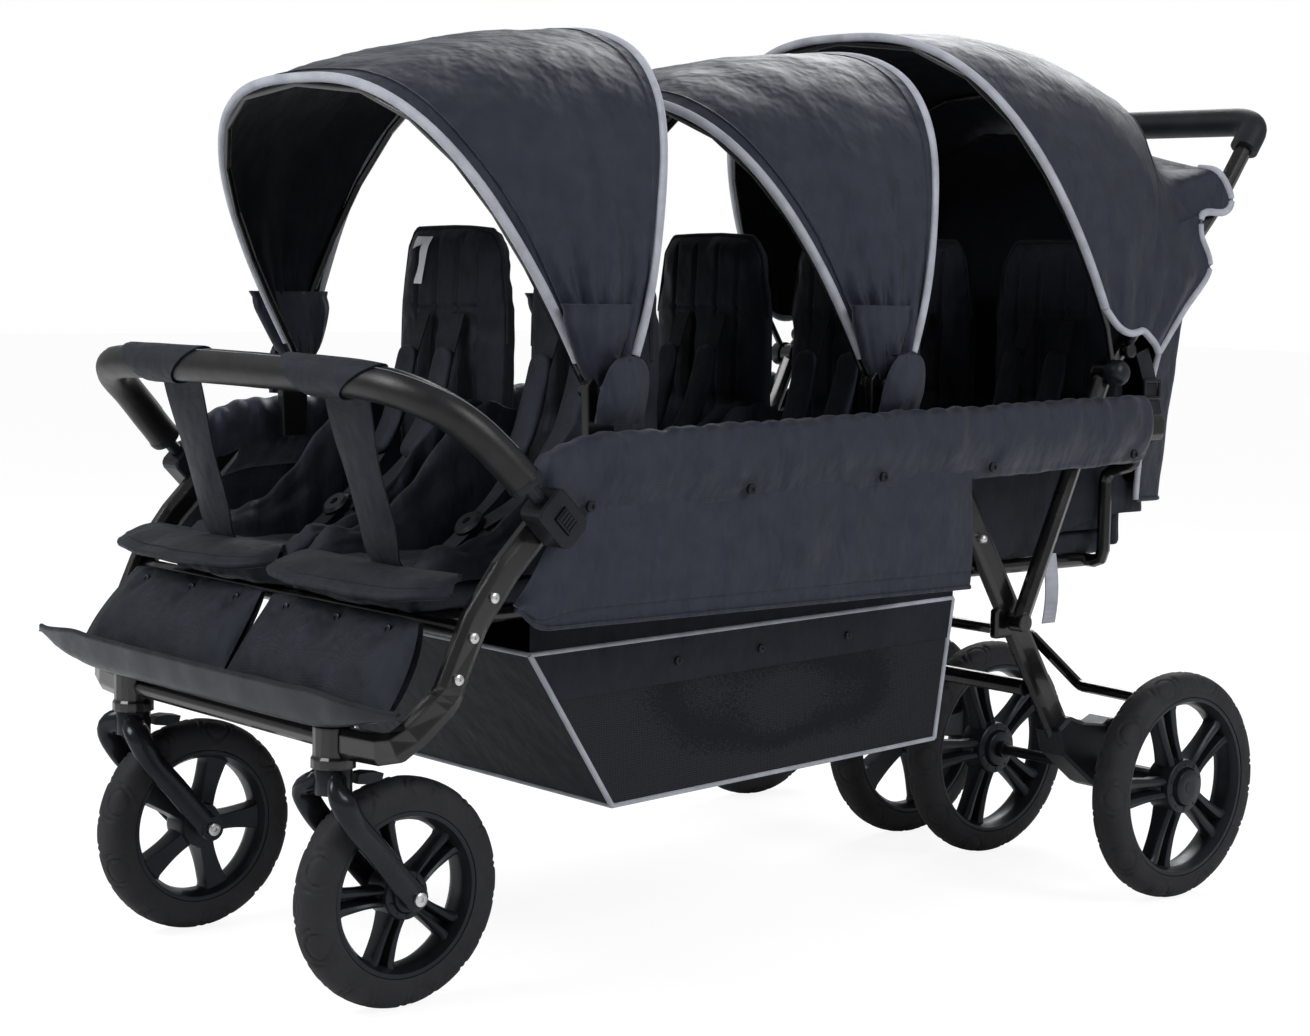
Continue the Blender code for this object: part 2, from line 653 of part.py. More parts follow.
def pad(name, width, length, thick, crown, channels, placing, tips=0.0, halves=False):
    """Build a cushion: crowned face, drawn-in sides and stitched channels across it.

    The cushion lies in its local X-Y plane and starts at y = 0; its face looks along local Z. Tips is the
    share by which its far end narrows, and halves adds a channel along the middle.
    """
    across = [-1.0, -0.88, -0.6, -0.3, -0.05, 0.0, 0.05, 0.3, 0.6, 0.88, 1.0] if halves else \
        [-1.0, -0.86, -0.5, 0.0, 0.5, 0.86, 1.0]
    along = {0.0, 0.06, 0.5, 0.94, 1.0}
    for c in channels:
        along |= {c - 0.045, c, c + 0.045}
    along = sorted(along)
    bm = bmesh.new()

    def outline(u, v, grow):
        narrow = 1.0 - tips * max(0.0, (v - 0.72) / 0.28) ** 3
        waist = 1.0 - 0.018 * math.sin(math.pi * v)
        x = u * (width / 2 + grow) * narrow * waist
        y = length * v + (grow * (2 * v - 1)) - 0.03 * tips * length * (u * u) * v
        if halves:
            y -= LIP * (1 - v) ** 4 * math.sin(math.pi * u) ** 2
        return x, y

    top = []
    for v in along:
        row = []
        for u in across:
            x, y = outline(u, v, -0.0035)
            swell = (1 - u ** 4) * (1 - (2 * v - 1) ** 6)
            z = thick * 0.5 - crown + crown * swell
            if any(abs(v - c) < 0.001 for c in channels) or (halves and abs(u) < 0.01):
                z -= 0.0045 * swell
            row.append(bm.verts.new(Vector((x, y, z))))
        top.append(row)
    for here, there in zip(top, top[1:]):
        for a, b, c, d in zip(here, here[1:], there[1:], there):
            bm.faces.new((a, b, c, d))
    last = len(along) - 1
    edge = len(across) - 1
    border = [(j, 0) for j in range(last)] + [(last, i) for i in range(edge)]
    border += [(j, edge) for j in range(last, 0, -1)] + [(0, i) for i in range(edge, 0, -1)]
    middle = []
    base = []
    for j, i in border:
        x, y = outline(across[i], along[j], 0.0)
        middle.append(bm.verts.new(Vector((x, y, 0.0))))
        x, y = outline(across[i], along[j], -0.0035)
        base.append(bm.verts.new(Vector((x, y, -thick * 0.5))))
    for k, (j, i) in enumerate(border):
        n = (k + 1) % len(border)
        jn, im = border[n]
        bm.faces.new((top[j][i], middle[k], middle[n], top[jn][im]))
        bm.faces.new((middle[k], base[k], base[n], middle[n]))
    bm.faces.new(base)
    made = mesh_object(name, bm)
    made.data.transform(placing)
    weld(made.data)
    return made


def seat_rail_z():
    """Return the height of the seat rails' centre lines, just under the seat pads."""
    return SEAT_TOP - SEAT_THICK - GAP - SEAT_RAIL_RADIUS


def seat_frame(name):
    """Build the seat rails with the front cross tube and the rear hanger that carry them."""
    z = seat_rail_z()
    inner = SIDE_X - OVAL[0] / 2 - GAP
    made = cylinder(name, SEAT_RAIL_RADIUS, (-inner, CROSS_TUBE_Y, z), (inner, CROSS_TUBE_Y, z))
    top_x = inner - HANGER_RADIUS
    bend = HANGER_BEND_Z
    half = [(top_x, HANGER_Y, rail_z(HANGER_Y) + 0.010), (top_x - 0.004, HANGER_Y, bend + 0.008),
            (HANGER_X, HANGER_Y, bend - 0.008), (HANGER_X, HANGER_Y, z)]
    corners = half + [(-x, y, high) for x, y, high in reversed(half)]
    parts = [tube("hanger", rounded(corners, 0.016), HANGER_RADIUS)]
    for side in (-1, 1):
        x = side * SEAT_RAIL_X
        parts.append(cylinder("rail", SEAT_RAIL_RADIUS - 0.0006, (x, CROSS_TUBE_Y, z), (x, HANGER_Y, z)))
    return combine(made, parts)


def seat_row(name, row):
    """Build one row's seat pad, two places wide."""
    front = ROW_Y[row] - SEAT_DEPTH[row]
    thick_middle = SEAT_TOP - SEAT_THICK / 2
    placing = Matrix.Translation((0.0, front, thick_middle))
    return pad(name, 2 * SEAT_HALF_WIDTH, SEAT_DEPTH[row], SEAT_THICK, 0.007, (0.30, 0.62), placing, halves=True)


def backrest_y(row):
    """Return the y of a backrest's middle, just behind its seat pad."""
    return ROW_Y[row] + GAP + BACK_THICK / 2


def backrest(name, side, row):
    """Build one backrest, standing on its hinge line above the seat pad."""
    foot = SEAT_TOP - SEAT_THICK
    stand = Matrix.Translation((side * BACK_CENTRE_X, backrest_y(row), foot)) @ Matrix.Rotation(math.pi / 2, 4, "X")
    length = BACK_TOP - foot
    return pad(name, BACK_WIDTH, length, BACK_THICK, 0.006, (0.22, 0.46, 0.70), stand, tips=0.30)


def seat_surround(name):
    """Build the cloth that stands round the last row: both sides and the back, in one piece."""
    side = SEAT_HALF_WIDTH + GAP + CLOTH / 2
    path = [(side, 0.150), (side, 0.235), (side, 0.320), (side, 0.405), (side, 0.485), (side, SURROUND_REAR - 0.012),
            (side - 0.008, SURROUND_REAR - 0.001), (0.120, SURROUND_REAR), (0.0, SURROUND_REAR)]
    path += [(-x, y) for x, y in reversed(path[:-1])]
    rows = []
    for k, (x, y) in enumerate(path):
        low = 0.438 + 0.050 * min(1.0, max(0.0, (y - 0.260) / 0.28))
        wave = 0.0008 * math.sin(k * 2.1)
        high = SURROUND_TOP - 0.072 * min(1.0, max(0.0, (y - 0.485) / 0.06))
        rows.append([Vector((x, y, low)), Vector((x + wave, y, (low + high) / 2)), Vector((x, y, high))])
    return sheet(name, rows, CLOTH)


def calf_panel(name, side):
    """Build one padded calf panel, hanging from the front of the first seat."""
    top = SEAT_TOP - SEAT_THICK - GAP
    low = TRAY_FLOOR_TOP + 0.008
    seat_front = ROW_Y[0] - SEAT_DEPTH[0]
    turn = Matrix.Translation((side * CALF_CENTRE_X, seat_front - 0.0085, low)) @ Matrix.Rotation(
        math.pi / 2, 4, "X")
    return pad(name, CALF_WIDTH, top - low, 0.014, 0.004, (0.33, 0.66), turn)


TRAY_BOTTOM = HOUSING_TOP + GAP
TRAY_FLOOR_TOP = TRAY_BOTTOM + TRAY_WALL


def foot_tray(name):
    """Build the foot tray: a gutter with a raised front lip, drawn out to a point at each side."""
    rows = []
    middle = TRAY_BOTTOM + TRAY_WALL / 2
    for share in (-1.0, -0.93, -0.84, -0.76, -0.66, -0.5, -0.25, 0.0, 0.25, 0.5, 0.66, 0.76, 0.84, 0.93, 1.0):
        a = abs(share)
        x = share * TRAY_HALF_WIDTH
        taper = max(0.0, (a - 0.76) / 0.24)
        front = TRAY_FRONT + TRAY_WALL / 2 + 0.022 * a ** 3 + 0.010 * taper
        back = -0.6680 - 0.058 * min(1.0, max(0.0, (a - 0.70) / 0.14)) - 0.006 * taper
        lip = 0.040 * (1.0 - 0.45 * taper)
        rise = 0.006 * taper
        row = []
        for t, up in ((0.0, 0.012 * (1 - taper)), (0.10, 0.0), (0.45, 0.0), (0.76, 0.0), (0.93, 0.012), (1.0, lip)):
            y = back + (front - back) * t
            row.append(Vector((x, y, middle + rise + up)))
        rows.append(row)
    return sheet(name, rows, TRAY_WALL, even=False)


def basket_points(share, top):
    """Return the basket's y and z at a share of its length, on the top edge or on the bottom."""
    (y0, z0), (y1, z1) = BASKET_TOP if top else BASKET_BOTTOM
    return y0 + (y1 - y0) * share, z0 + (z1 - z0) * share


def basket_part(name, shares, closed_front, closed_rear):
    """Build one length of the basket from sections across it: side walls, round bottom corners, floor."""
    hem = seat_rail_z() + 0.004
    rows = []
    for share in shares:
        yt, zt = basket_points(share, True)
        yb, zb = basket_points(share, False)
        row = []
        w = BASKET_HALF_WIDTH - BASKET_WALL / 2
        half = [(w, yt, hem), (w, yt, zt), (w - 0.003, (yt + yb) / 2, (zt + zb) / 2),
                (w - 0.008, yb + (yt - yb) * 0.10, zb + 0.024), (w - 0.032, yb, zb + BASKET_WALL / 2),
                (w * 0.42, yb, zb + BASKET_WALL / 2 - 0.002)]
        for x, y, z in half:
            row.append(Vector((x, y, z)))
        row.append(Vector((0.0, yb, zb + BASKET_WALL / 2 - 0.004)))
        for x, y, z in reversed(half):
            row.append(Vector((-x, y, z)))
        rows.append(row)
    made = sheet(name, rows, BASKET_WALL)
    walls = []
    for closed, share, inward in ((closed_front, shares[0], 1), (closed_rear, shares[-1], -1)):
        if closed:
            yt, zt = basket_points(share, True)
            yb, zb = basket_points(share, False)
            rows = []
            for k in range(7):
                x = (BASKET_HALF_WIDTH - 0.0022) * (k - 3) / 3
                short = 0.022 if k in (0, 6) else 0.0
                low = zb + BASKET_WALL / 2 + short
                rows.append([Vector((x, yb + (yt - yb) * short / (zt - zb) + inward * 0.001, low)),
                             Vector((x, (yt + yb) / 2 + inward * 0.001, (zt + zb) / 2)),
                             Vector((x, yt + inward * 0.001, hem - 0.018))])
            walls.append(sheet("wall", rows, BASKET_WALL))
    return combine(made, walls) if walls else made


def along_clamp(x, forward, up):
    """Return a point given along the spigot and at right angles to it, from the clamp's middle."""
    y, z = CLAMP_AT
    s = math.sqrt(0.5)
    return Vector((x, y - s * forward + s * up, z + s * forward + s * up))


CLAMP_X = (SIDE_X + OVAL[0] / 2 + GAP, 0.386)
BUMPER_END_X = 0.368


def clamp(name):
    """Build the left clamp: a rounded housing beside the front tube, bored for the bumper bar."""
    outline = [along_clamp(0, f, u).yz for f, u in ((-0.030, -0.015), (-0.024, -0.022), (0.022, -0.022),
               (0.028, -0.016), (0.028, 0.016), (0.022, 0.022), (-0.024, 0.022), (-0.030, 0.015))]
    thick = CLAMP_X[1] - CLAMP_X[0]
    made = plate(name, [tuple(p) for p in outline], thick, facing_x((CLAMP_X[0] + CLAMP_X[1]) / 2))
    bevel = made.modifiers.new("edges", "BEVEL")
    bevel.width = 0.0025
    bevel.segments = 1
    bevel.limit_method = "ANGLE"
    bpy.context.view_layer.update()
    made = realise(made, name)
    bore = cylinder("bore", BUMPER_SPIGOT + RUNNING, along_clamp(BUMPER_END_X, -0.022, 0),
                    along_clamp(BUMPER_END_X, 0.040, 0), 16)
    pocket = box("pocket", (CLAMP_X[1] - 0.0065, -0.0134, -0.0096), (CLAMP_X[1] + 0.01, 0.0134, 0.0096))
    pocket.data.transform(button_place(0.0))
    return combine(made, [bore, pocket], "DIFFERENCE")


BUMPER_SPIGOT = 0.0080


def button_place(x):
    """Return the placing of the release button's local frame."""
    centre = along_clamp(x, -0.004, 0.0)
    return Matrix.Translation(centre) @ Matrix.Rotation(math.radians(135), 4, "X")


def clamp_button(name):
    """Build the left release button with its ribs."""
    made = box(name, (CLAMP_X[1] - 0.0025, -0.0125, -0.0088), (CLAMP_X[1] + 0.0035, 0.0125, 0.0088), 0.0012)
    ribs = []
    for k in range(-2, 3):
        rib = box("rib", (CLAMP_X[1] + 0.001, k * 0.0046 - 0.0011, -0.0070),
                  (CLAMP_X[1] + 0.0047, k * 0.0046 + 0.0011, 0.0070))
        ribs.append(rib)
    made = combine(made, ribs)
    made.data.transform(button_place(0.0))
    return made


def bumper_bar(name):
    """Build the bumper bar: one padded bar with a spigot in each clamp."""
    y, z = BUMPER_FRONT
    start = along_clamp(BUMPER_END_X, 0.0290 + BUMPER_RADIUS * 0.9, 0.0)
    half = [start, Vector((0.352, -0.622, 0.637)), Vector((0.322, -0.664, 0.668)),
            Vector((BUMPER_CORNER_X, y, z - 0.003)), Vector((0.10, y - 0.003, z))]
    corners = half + [Vector((-p.x, p.y, p.z)) for p in reversed(half)]
    path = rounded(corners, 0.050, 3)
    made = tube(name, path, BUMPER_RADIUS)
    parts = []
    for side in (-1, 1):
        low = along_clamp(BUMPER_END_X, -0.018, 0.0)
        high = along_clamp(BUMPER_END_X, 0.060, 0.0)
        parts.append(cylinder("spigot", BUMPER_SPIGOT, (side * low.x, low.y, low.z),
                              (side * high.x, high.y, high.z)))
    return combine(made, parts)


def bow_path(shape, pivot, foot_x, foot_share):
    """Return the centre line of a canopy bow, from its left pivot over the top to its right pivot."""
    half_width, height, tilt = shape
    y, z = pivot
    place = Vector((0.0, y, z))
    shares = [spaced(foot_share, k) for k in range(COLUMNS + 1)]
    path = [place + arch(half_width, height, tilt, share, 2.75) for share in shares]
    lean = math.radians(tilt)
    low = place + Vector((foot_x, -0.012 * math.sin(lean), 0.012 * math.cos(lean)))
    path = [place + Vector((foot_x, 0, 0)), low, *path]
    path += [Vector((-low.x, low.y, low.z)), place + Vector((-foot_x, 0, 0))]
    return path


def bow(name, shape, pivot, foot_x, pin, foot_share=0.010):
    """Build a canopy bow with a round eye and a pin at each end; pin holds the pin's two x values."""
    made = tube(name, bow_path(shape, pivot, foot_x, foot_share), BOW_RADIUS, 1)
    y, z = pivot
    parts = []
    for side in (-1, 1):
        parts.append(cylinder("pin", AXLE_RADIUS, (side * pin[0], y, z), (side * pin[1], y, z)))
        parts.append(cylinder("eye", 0.0095, (side * (foot_x - BOW_RADIUS), y, z),
                              (side * (foot_x + BOW_RADIUS), y, z), 14))
    return combine(made, parts)


COLUMNS = 16


def spaced(low_share, step):
    """Return a share along a bow, its steps closer together near both feet."""
    return low_share + (1 - 2 * low_share) * (1 - math.cos(math.pi * step / COLUMNS)) / 2


def cover_rows(front, rear, pivot, rear_pivot, bands, low_share, sag, over):
    """Return the grid of a canopy cover between two bows; sag lets the cloth dip between them."""
    rows = []
    for k in range(bands + 1):
        t = (k / bands)
        row = []
        for j in range(COLUMNS + 1):
            share = spaced(low_share, j)
            a = arch(front[0] + over, front[1] + over, front[2], share, 2.75) + Vector((0, *pivot))
            b = arch(rear[0] + over, rear[1] + over, rear[2], share, 2.75) + Vector((0, *rear_pivot))
            point = a.lerp(b, t)
            mid = Vector((0, (pivot[0] + rear_pivot[0]) / 2, (pivot[1] + rear_pivot[1]) / 2))
            out = (point - mid)
            reach = out.length
            full = (a - mid).length * (1 - t) + (b - mid).length * t
            lift = (full - reach) * 0.75 - sag * math.sin(math.pi * t) * math.sin(math.pi * share)
            point = point + out.normalized() * lift
            point.x += math.copysign(0.010, point.x) * math.sin(math.pi * t) * (1 - math.sin(math.pi * share)) ** 3
            row.append(point)
        rows.append(row)
    return rows


def canopy_cover(name, pivot):
    """Build the cloth between a canopy's two bows."""
    over = BOW_RADIUS + CLOTH / 2 + 0.0008
    rows = cover_rows(CANOPY_FRONT_BOW, CANOPY_REAR_BOW, pivot, pivot, 6, 0.010, 0.012, over)
    made = sheet(name, rows, CLOTH)
    return made


def hood_cover(name):
    """Build the rear hood's cloth: over its two bows and on to a rear edge at the handle."""
    over = BOW_RADIUS + CLOTH / 2 + 0.0008
    pivot = HANDLE_KNEE
    rows = cover_rows(HOOD_FRONT_BOW, HOOD_BACK_BOW, pivot, HOOD_BACK_PIVOT, 6, 0.022, 0.012, over)
    base = Vector((0, *pivot))
    last = rows[-1]
    for k in (1, 2, 3):
        row = []
        for j, point in enumerate(last):
            share = (1 - math.cos(math.pi * j / COLUMNS)) / 2
            top = math.sin(math.pi * share)
            lean = math.radians(HOOD_BACK_BOW[2] - (16 - 9 * top) * k / 3 * 1.4)
            reach = (point - base)
            height = math.hypot(reach.y, reach.z) * (1 + 0.006 * k * top)
            if height < 0.16:
                height += 0.014 * k * (1 - top)
            row.append(Vector((point.x * (1 - 0.003 * k), base.y - height * math.sin(lean),
                               base.z + height * math.cos(lean))))
        rows.append(row)
    return sheet(name, rows, CLOTH)


def rear_panel(name):
    """Build the cloth panel that closes the hood at the back and hangs down behind the last row."""
    levels = ((0.545, 0.590, 0.279), (0.620, 0.602, 0.280), (0.700, 0.614, 0.280), (0.780, 0.628, 0.280),
              (0.860, 0.633, 0.2836), (0.915, 0.640, 0.2834), (0.975, 0.633, 0.222), (1.012, 0.624, 0.165),
              (1.032, 0.618, 0.095))
    rows = []
    for k, (z, y, x) in enumerate(levels):
        row = []
        for j in range(9):
            t = j / 8
            wave = 0.004 * math.sin(j * 1.7 + 0.6) * max(0, 4 - k) / 4
            row.append(Vector((-x + 2 * x * t, y + wave + 0.012 * math.sin(math.pi * t), z)))
        rows.append(row)
    return sheet(name, rows, CLOTH)


def leg_axis(radius_share):
    """Return the y and z of a point on the rear leg's centre line, from its pivot to its foot."""
    (y0, z0), (y1, z1) = LEG_PIVOT, LEG_FOOT
    return y0 + (y1 - y0) * radius_share, z0 + (z1 - z0) * radius_share


def rear_leg(name):
    """Build the left rear leg: a flat-oval tube, bored at its pivot and at the handle's foot."""
    over = 0.014
    start = leg_axis(-over / 0.48)
    path = [Vector((LEG_X, *start)), Vector((LEG_X, *leg_axis(0.5))), Vector((LEG_X, *leg_axis(1.0)))]
    made = oval_tube(name, path, (OVAL[0], OVAL[1] + 0.002), 4)
    y, z = HANDLE_PIVOT
    foot = box("plate", (LEG_X - OVAL[0] / 2 + 0.002, y - 0.022, z - 0.022),
               (LEG_X + OVAL[0] / 2 - 0.002, y + 0.026, z + 0.016), 0.003)
    made = combine(made, [foot])
    bores = []
    for y, z in (LEG_PIVOT, HANDLE_PIVOT):
        bores.append(cylinder("bore", PIVOT_BORE, (LEG_X - 0.03, y, z), (LEG_X + 0.03, y, z), 16))
    return combine(made, bores, "DIFFERENCE")


def leg_cross_tube(name):
    """Build the tube between the two rear legs."""
    reach = LEG_X - OVAL[0] / 2 - GAP
    y, z = LEG_CROSS_TUBE
    return cylinder(name, LEG_CROSS_RADIUS, (-reach, y, z), (reach, y, z), 16)


def rear_bracket(name):
    """Build the left axle bracket with its axle: it grips the leg's foot and carries two wheels."""
    y = REAR_AXLE_Y
    z = REAR_WHEEL_RADIUS
    foot_y, foot_z = LEG_FOOT
    outline = [(y + 0.020, z - 0.012), (y + 0.023, z + 0.006), (y + 0.024, BRAKE_PIVOT[1] + 0.004),
               (y + 0.014, BRAKE_PIVOT[1] + 0.014), (y - 0.006, BRAKE_PIVOT[1] + 0.006), (foot_y + 0.026, foot_z + 0.024),
               (foot_y - 0.006, foot_z + 0.036), (foot_y - 0.030, foot_z + 0.020), (foot_y - 0.020, foot_z - 0.014),
               (y - 0.026, z - 0.016), (y - 0.008, z - 0.024), (y + 0.010, z - 0.022)]
    low, high = BRACKET_X
    made = plate(name, outline, high - low, facing_x((low + high) / 2))
    bevel = made.modifiers.new("edges", "BEVEL")
    bevel.width = 0.004
    bevel.segments = 1
    bevel.limit_method = "ANGLE"
    bpy.context.view_layer.update()
    made = realise(made, name)
    pocket = oval_tube("pocket", [Vector((LEG_X, *leg_axis(0.80))), Vector((LEG_X, *leg_axis(1.0 + GAP / 0.48)))],
                       (OVAL[0] + 2 * GAP, OVAL[1] + 0.002 + 2 * GAP), 4)
    made = combine(made, [pocket], "DIFFERENCE")
    inner = REAR_WHEEL_INNER_X - HUB_LENGTH / 2 - 0.004
    outer = REAR_WHEEL_OUTER_X + HUB_LENGTH / 2 + HUB_CAP_LENGTH - 0.001
    axle = cylinder("axle", REAR_AXLE_RADIUS, (inner, y, z), (outer, y, z), 14)
    stop = cylinder("stop", REAR_AXLE_RADIUS + 0.004, (REAR_WHEEL_INNER_X + HUB_LENGTH / 2 + HUB_CAP_LENGTH + 0.001, y, z),
                    (REAR_WHEEL_INNER_X + 0.036, y, z), 14)
    cap = cylinder("cap", 0.013, (high - 0.004, *BRAKE_PIVOT), (high + 0.0015, *BRAKE_PIVOT), 16)
    sleeve = cylinder("sleeve", 0.016, (high - 0.004, y, z), (REAR_WHEEL_OUTER_X - HUB_LENGTH / 2 - 0.0008, y, z), 16)
    made = combine(made, [axle, stop, cap, sleeve])
    bore = cylinder("bore", PIVOT_BORE - 0.001, (low - 0.01, *BRAKE_PIVOT), (high + 0.01, *BRAKE_PIVOT), 16)
    return combine(made, [bore], "DIFFERENCE")


def brake_bar(name):
    """Build the foot brake's bar, raised in the middle over the inner wheels."""
    y, z = BRAKE_PIVOT
    half = [(BRAKE_END_X, y, z), (BRAKE_END_X, BRAKE_BAR_Y - 0.004, BRAKE_LOW_Z), (0.186, BRAKE_BAR_Y, BRAKE_LOW_Z + 0.002),
            (0.094, BRAKE_BAR_Y, BRAKE_HIGH_Z)]
    corners = half + [(-x, y, z) for x, y, z in reversed(half)]
    made = tube(name, rounded(corners, 0.020), BRAKE_BAR_RADIUS)
    parts = []
    for side in (-1, 1):
        parts.append(cylinder("eye", 0.0105, (side * (BRACKET_X[1] + 0.0015 + GAP), y, z),
                              (side * (BRAKE_END_X + 0.009), y, z), 16))
        parts.append(cylinder("pin", PIVOT_PIN_RADIUS - 0.001, (side * (BRACKET_X[0] + 0.004), y, z),
                              (side * BRAKE_END_X, y, z)))
    return combine(made, parts)


def handle_path(down=False):
    """Return the handle's centre line: both side tubes and the cross bar, or the gripped part alone."""
    x = HANDLE_X
    half = [(x, *HANDLE_PIVOT), (x, *HANDLE_KNEE), (x, *HANDLE_NECK), (x, *HANDLE_BAR)]
    if down:
        neck = Vector(half[2])
        bar = Vector(half[3])
        start = bar + (neck - bar).normalized() * (GRIP_LENGTH_DOWN + 0.030)
        half = [start, half[3]]
    corners = [Vector(p) for p in half]
    corners += [Vector((-p.x, p.y, p.z)) for p in reversed(corners)]
    return rounded(corners, 0.034, 3)


def handle_frame(name):
    """Build the handle's tube with its foot pins and the hood's pivots at its knees."""
    made = tube(name, handle_path(), HANDLE_TUBE_RADIUS)
    parts = []
    inner = LEG_X - OVAL[0] / 2 + 0.002
    outer = HANDLE_X + HANDLE_TUBE_RADIUS
    for side in (-1, 1):
        parts.append(cylinder("pin", PIVOT_PIN_RADIUS, (side * inner, *HANDLE_PIVOT), (side * HANDLE_X, *HANDLE_PIVOT)))
        parts.append(cylinder("end", HANDLE_TUBE_RADIUS, (side * (HANDLE_X - 0.0112), *HANDLE_PIVOT),
                              (side * (HANDLE_X + 0.0112), *HANDLE_PIVOT), 16))
        parts.append(cylinder("knee", 0.0145, (side * (HANDLE_X - 0.011), *HANDLE_KNEE),
                              (side * outer, *HANDLE_KNEE), 16))
    made = combine(made, parts)
    bores = []
    for side in (-1, 1):
        bores.append(cylinder("bore", AXLE_RADIUS + RUNNING, (side * (HANDLE_X - 0.004), *HANDLE_KNEE),
                              (side * (outer + 0.01), *HANDLE_KNEE), 16))
    return combine(made, bores, "DIFFERENCE")


def handle_grip(name):
    """Build the grip: a sleeve round the cross bar and a little way down each side."""
    path = handle_path(down=True)
    made = tube(name, path, GRIP_RADIUS)
    longer = [path[0] + (path[0] - path[1]).normalized() * 0.005, *path[1:-1],
              path[-1] + (path[-1] - path[-2]).normalized() * 0.005]
    core = tube("core", longer, HANDLE_TUBE_RADIUS + GAP)
    return combine(made, [core], "DIFFERENCE")


def build_wheels():
    """Build the six wheels and the castor forks that carry the front pair."""
    front_rim = rim("front_rim", FRONT_RIM_RADIUS, FRONT_HUB_RADIUS, FRONT_WHEEL_WIDTH / 2 - 0.003, AXLE_RADIUS + RUNNING)
    front_tyre = tyre("front_tyre", FRONT_WHEEL_RADIUS, FRONT_RIM_RADIUS, FRONT_WHEEL_WIDTH / 2)
    rear_rim = rim("rear_rim", REAR_RIM_RADIUS, REAR_HUB_RADIUS, REAR_WHEEL_WIDTH / 2 - 0.002,
                   REAR_AXLE_RADIUS + RUNNING)
    rear_tyre = tyre("rear_tyre", REAR_WHEEL_RADIUS, REAR_RIM_RADIUS, REAR_WHEEL_WIDTH / 2)
    left = castor_fork("castor_fork_left")
    right = mirrored(left, "castor_fork_right")
    lever = swivel_lever("swivel_lock_left")
    levers = (lever, mirrored(lever, "swivel_lock_right"))
    for side, label, fork, lock in ((1, "left", left, levers[0]), (-1, "right", right, levers[1])):
        stem = (side * CASTOR_X, CASTOR_Y, FORK_CROWN_Z)
        body("castor_" + label, stem, "frame")
        give(fork, "castor_" + label, "black_plastic")
        body("swivel_lock_" + label, (side * CASTOR_X, *SWIVEL_LOCK_PIVOT), "castor_" + label)
        give(lock, "swivel_lock_" + label, "black_plastic")
        centre = (side * CASTOR_X, CASTOR_Y + CASTOR_TRAIL, FRONT_WHEEL_RADIUS)
        wheel("front_wheel_" + label, "front_" + label, centre, FRONT_WHEEL_RADIUS, front_rim, front_tyre,
              "castor_" + label, side)
    for side, where, x in ((1, "left", REAR_WHEEL_OUTER_X), (-1, "right", REAR_WHEEL_OUTER_X)):
        centre = (side * x, REAR_AXLE_Y, REAR_WHEEL_RADIUS)
        wheel("rear_outer_wheel_" + where, "rear_outer_" + where, centre, REAR_WHEEL_RADIUS, rear_rim, rear_tyre,
              "rear_legs", side)
        centre = (side * REAR_WHEEL_INNER_X, REAR_AXLE_Y, REAR_WHEEL_RADIUS)
        wheel("rear_inner_wheel_" + where, "rear_inner_" + where, centre, REAR_WHEEL_RADIUS, rear_rim, rear_tyre,
              "rear_legs", side)
    for spare in (front_rim, front_tyre, rear_rim, rear_tyre):
        bpy.data.objects.remove(spare, do_unlink=True)


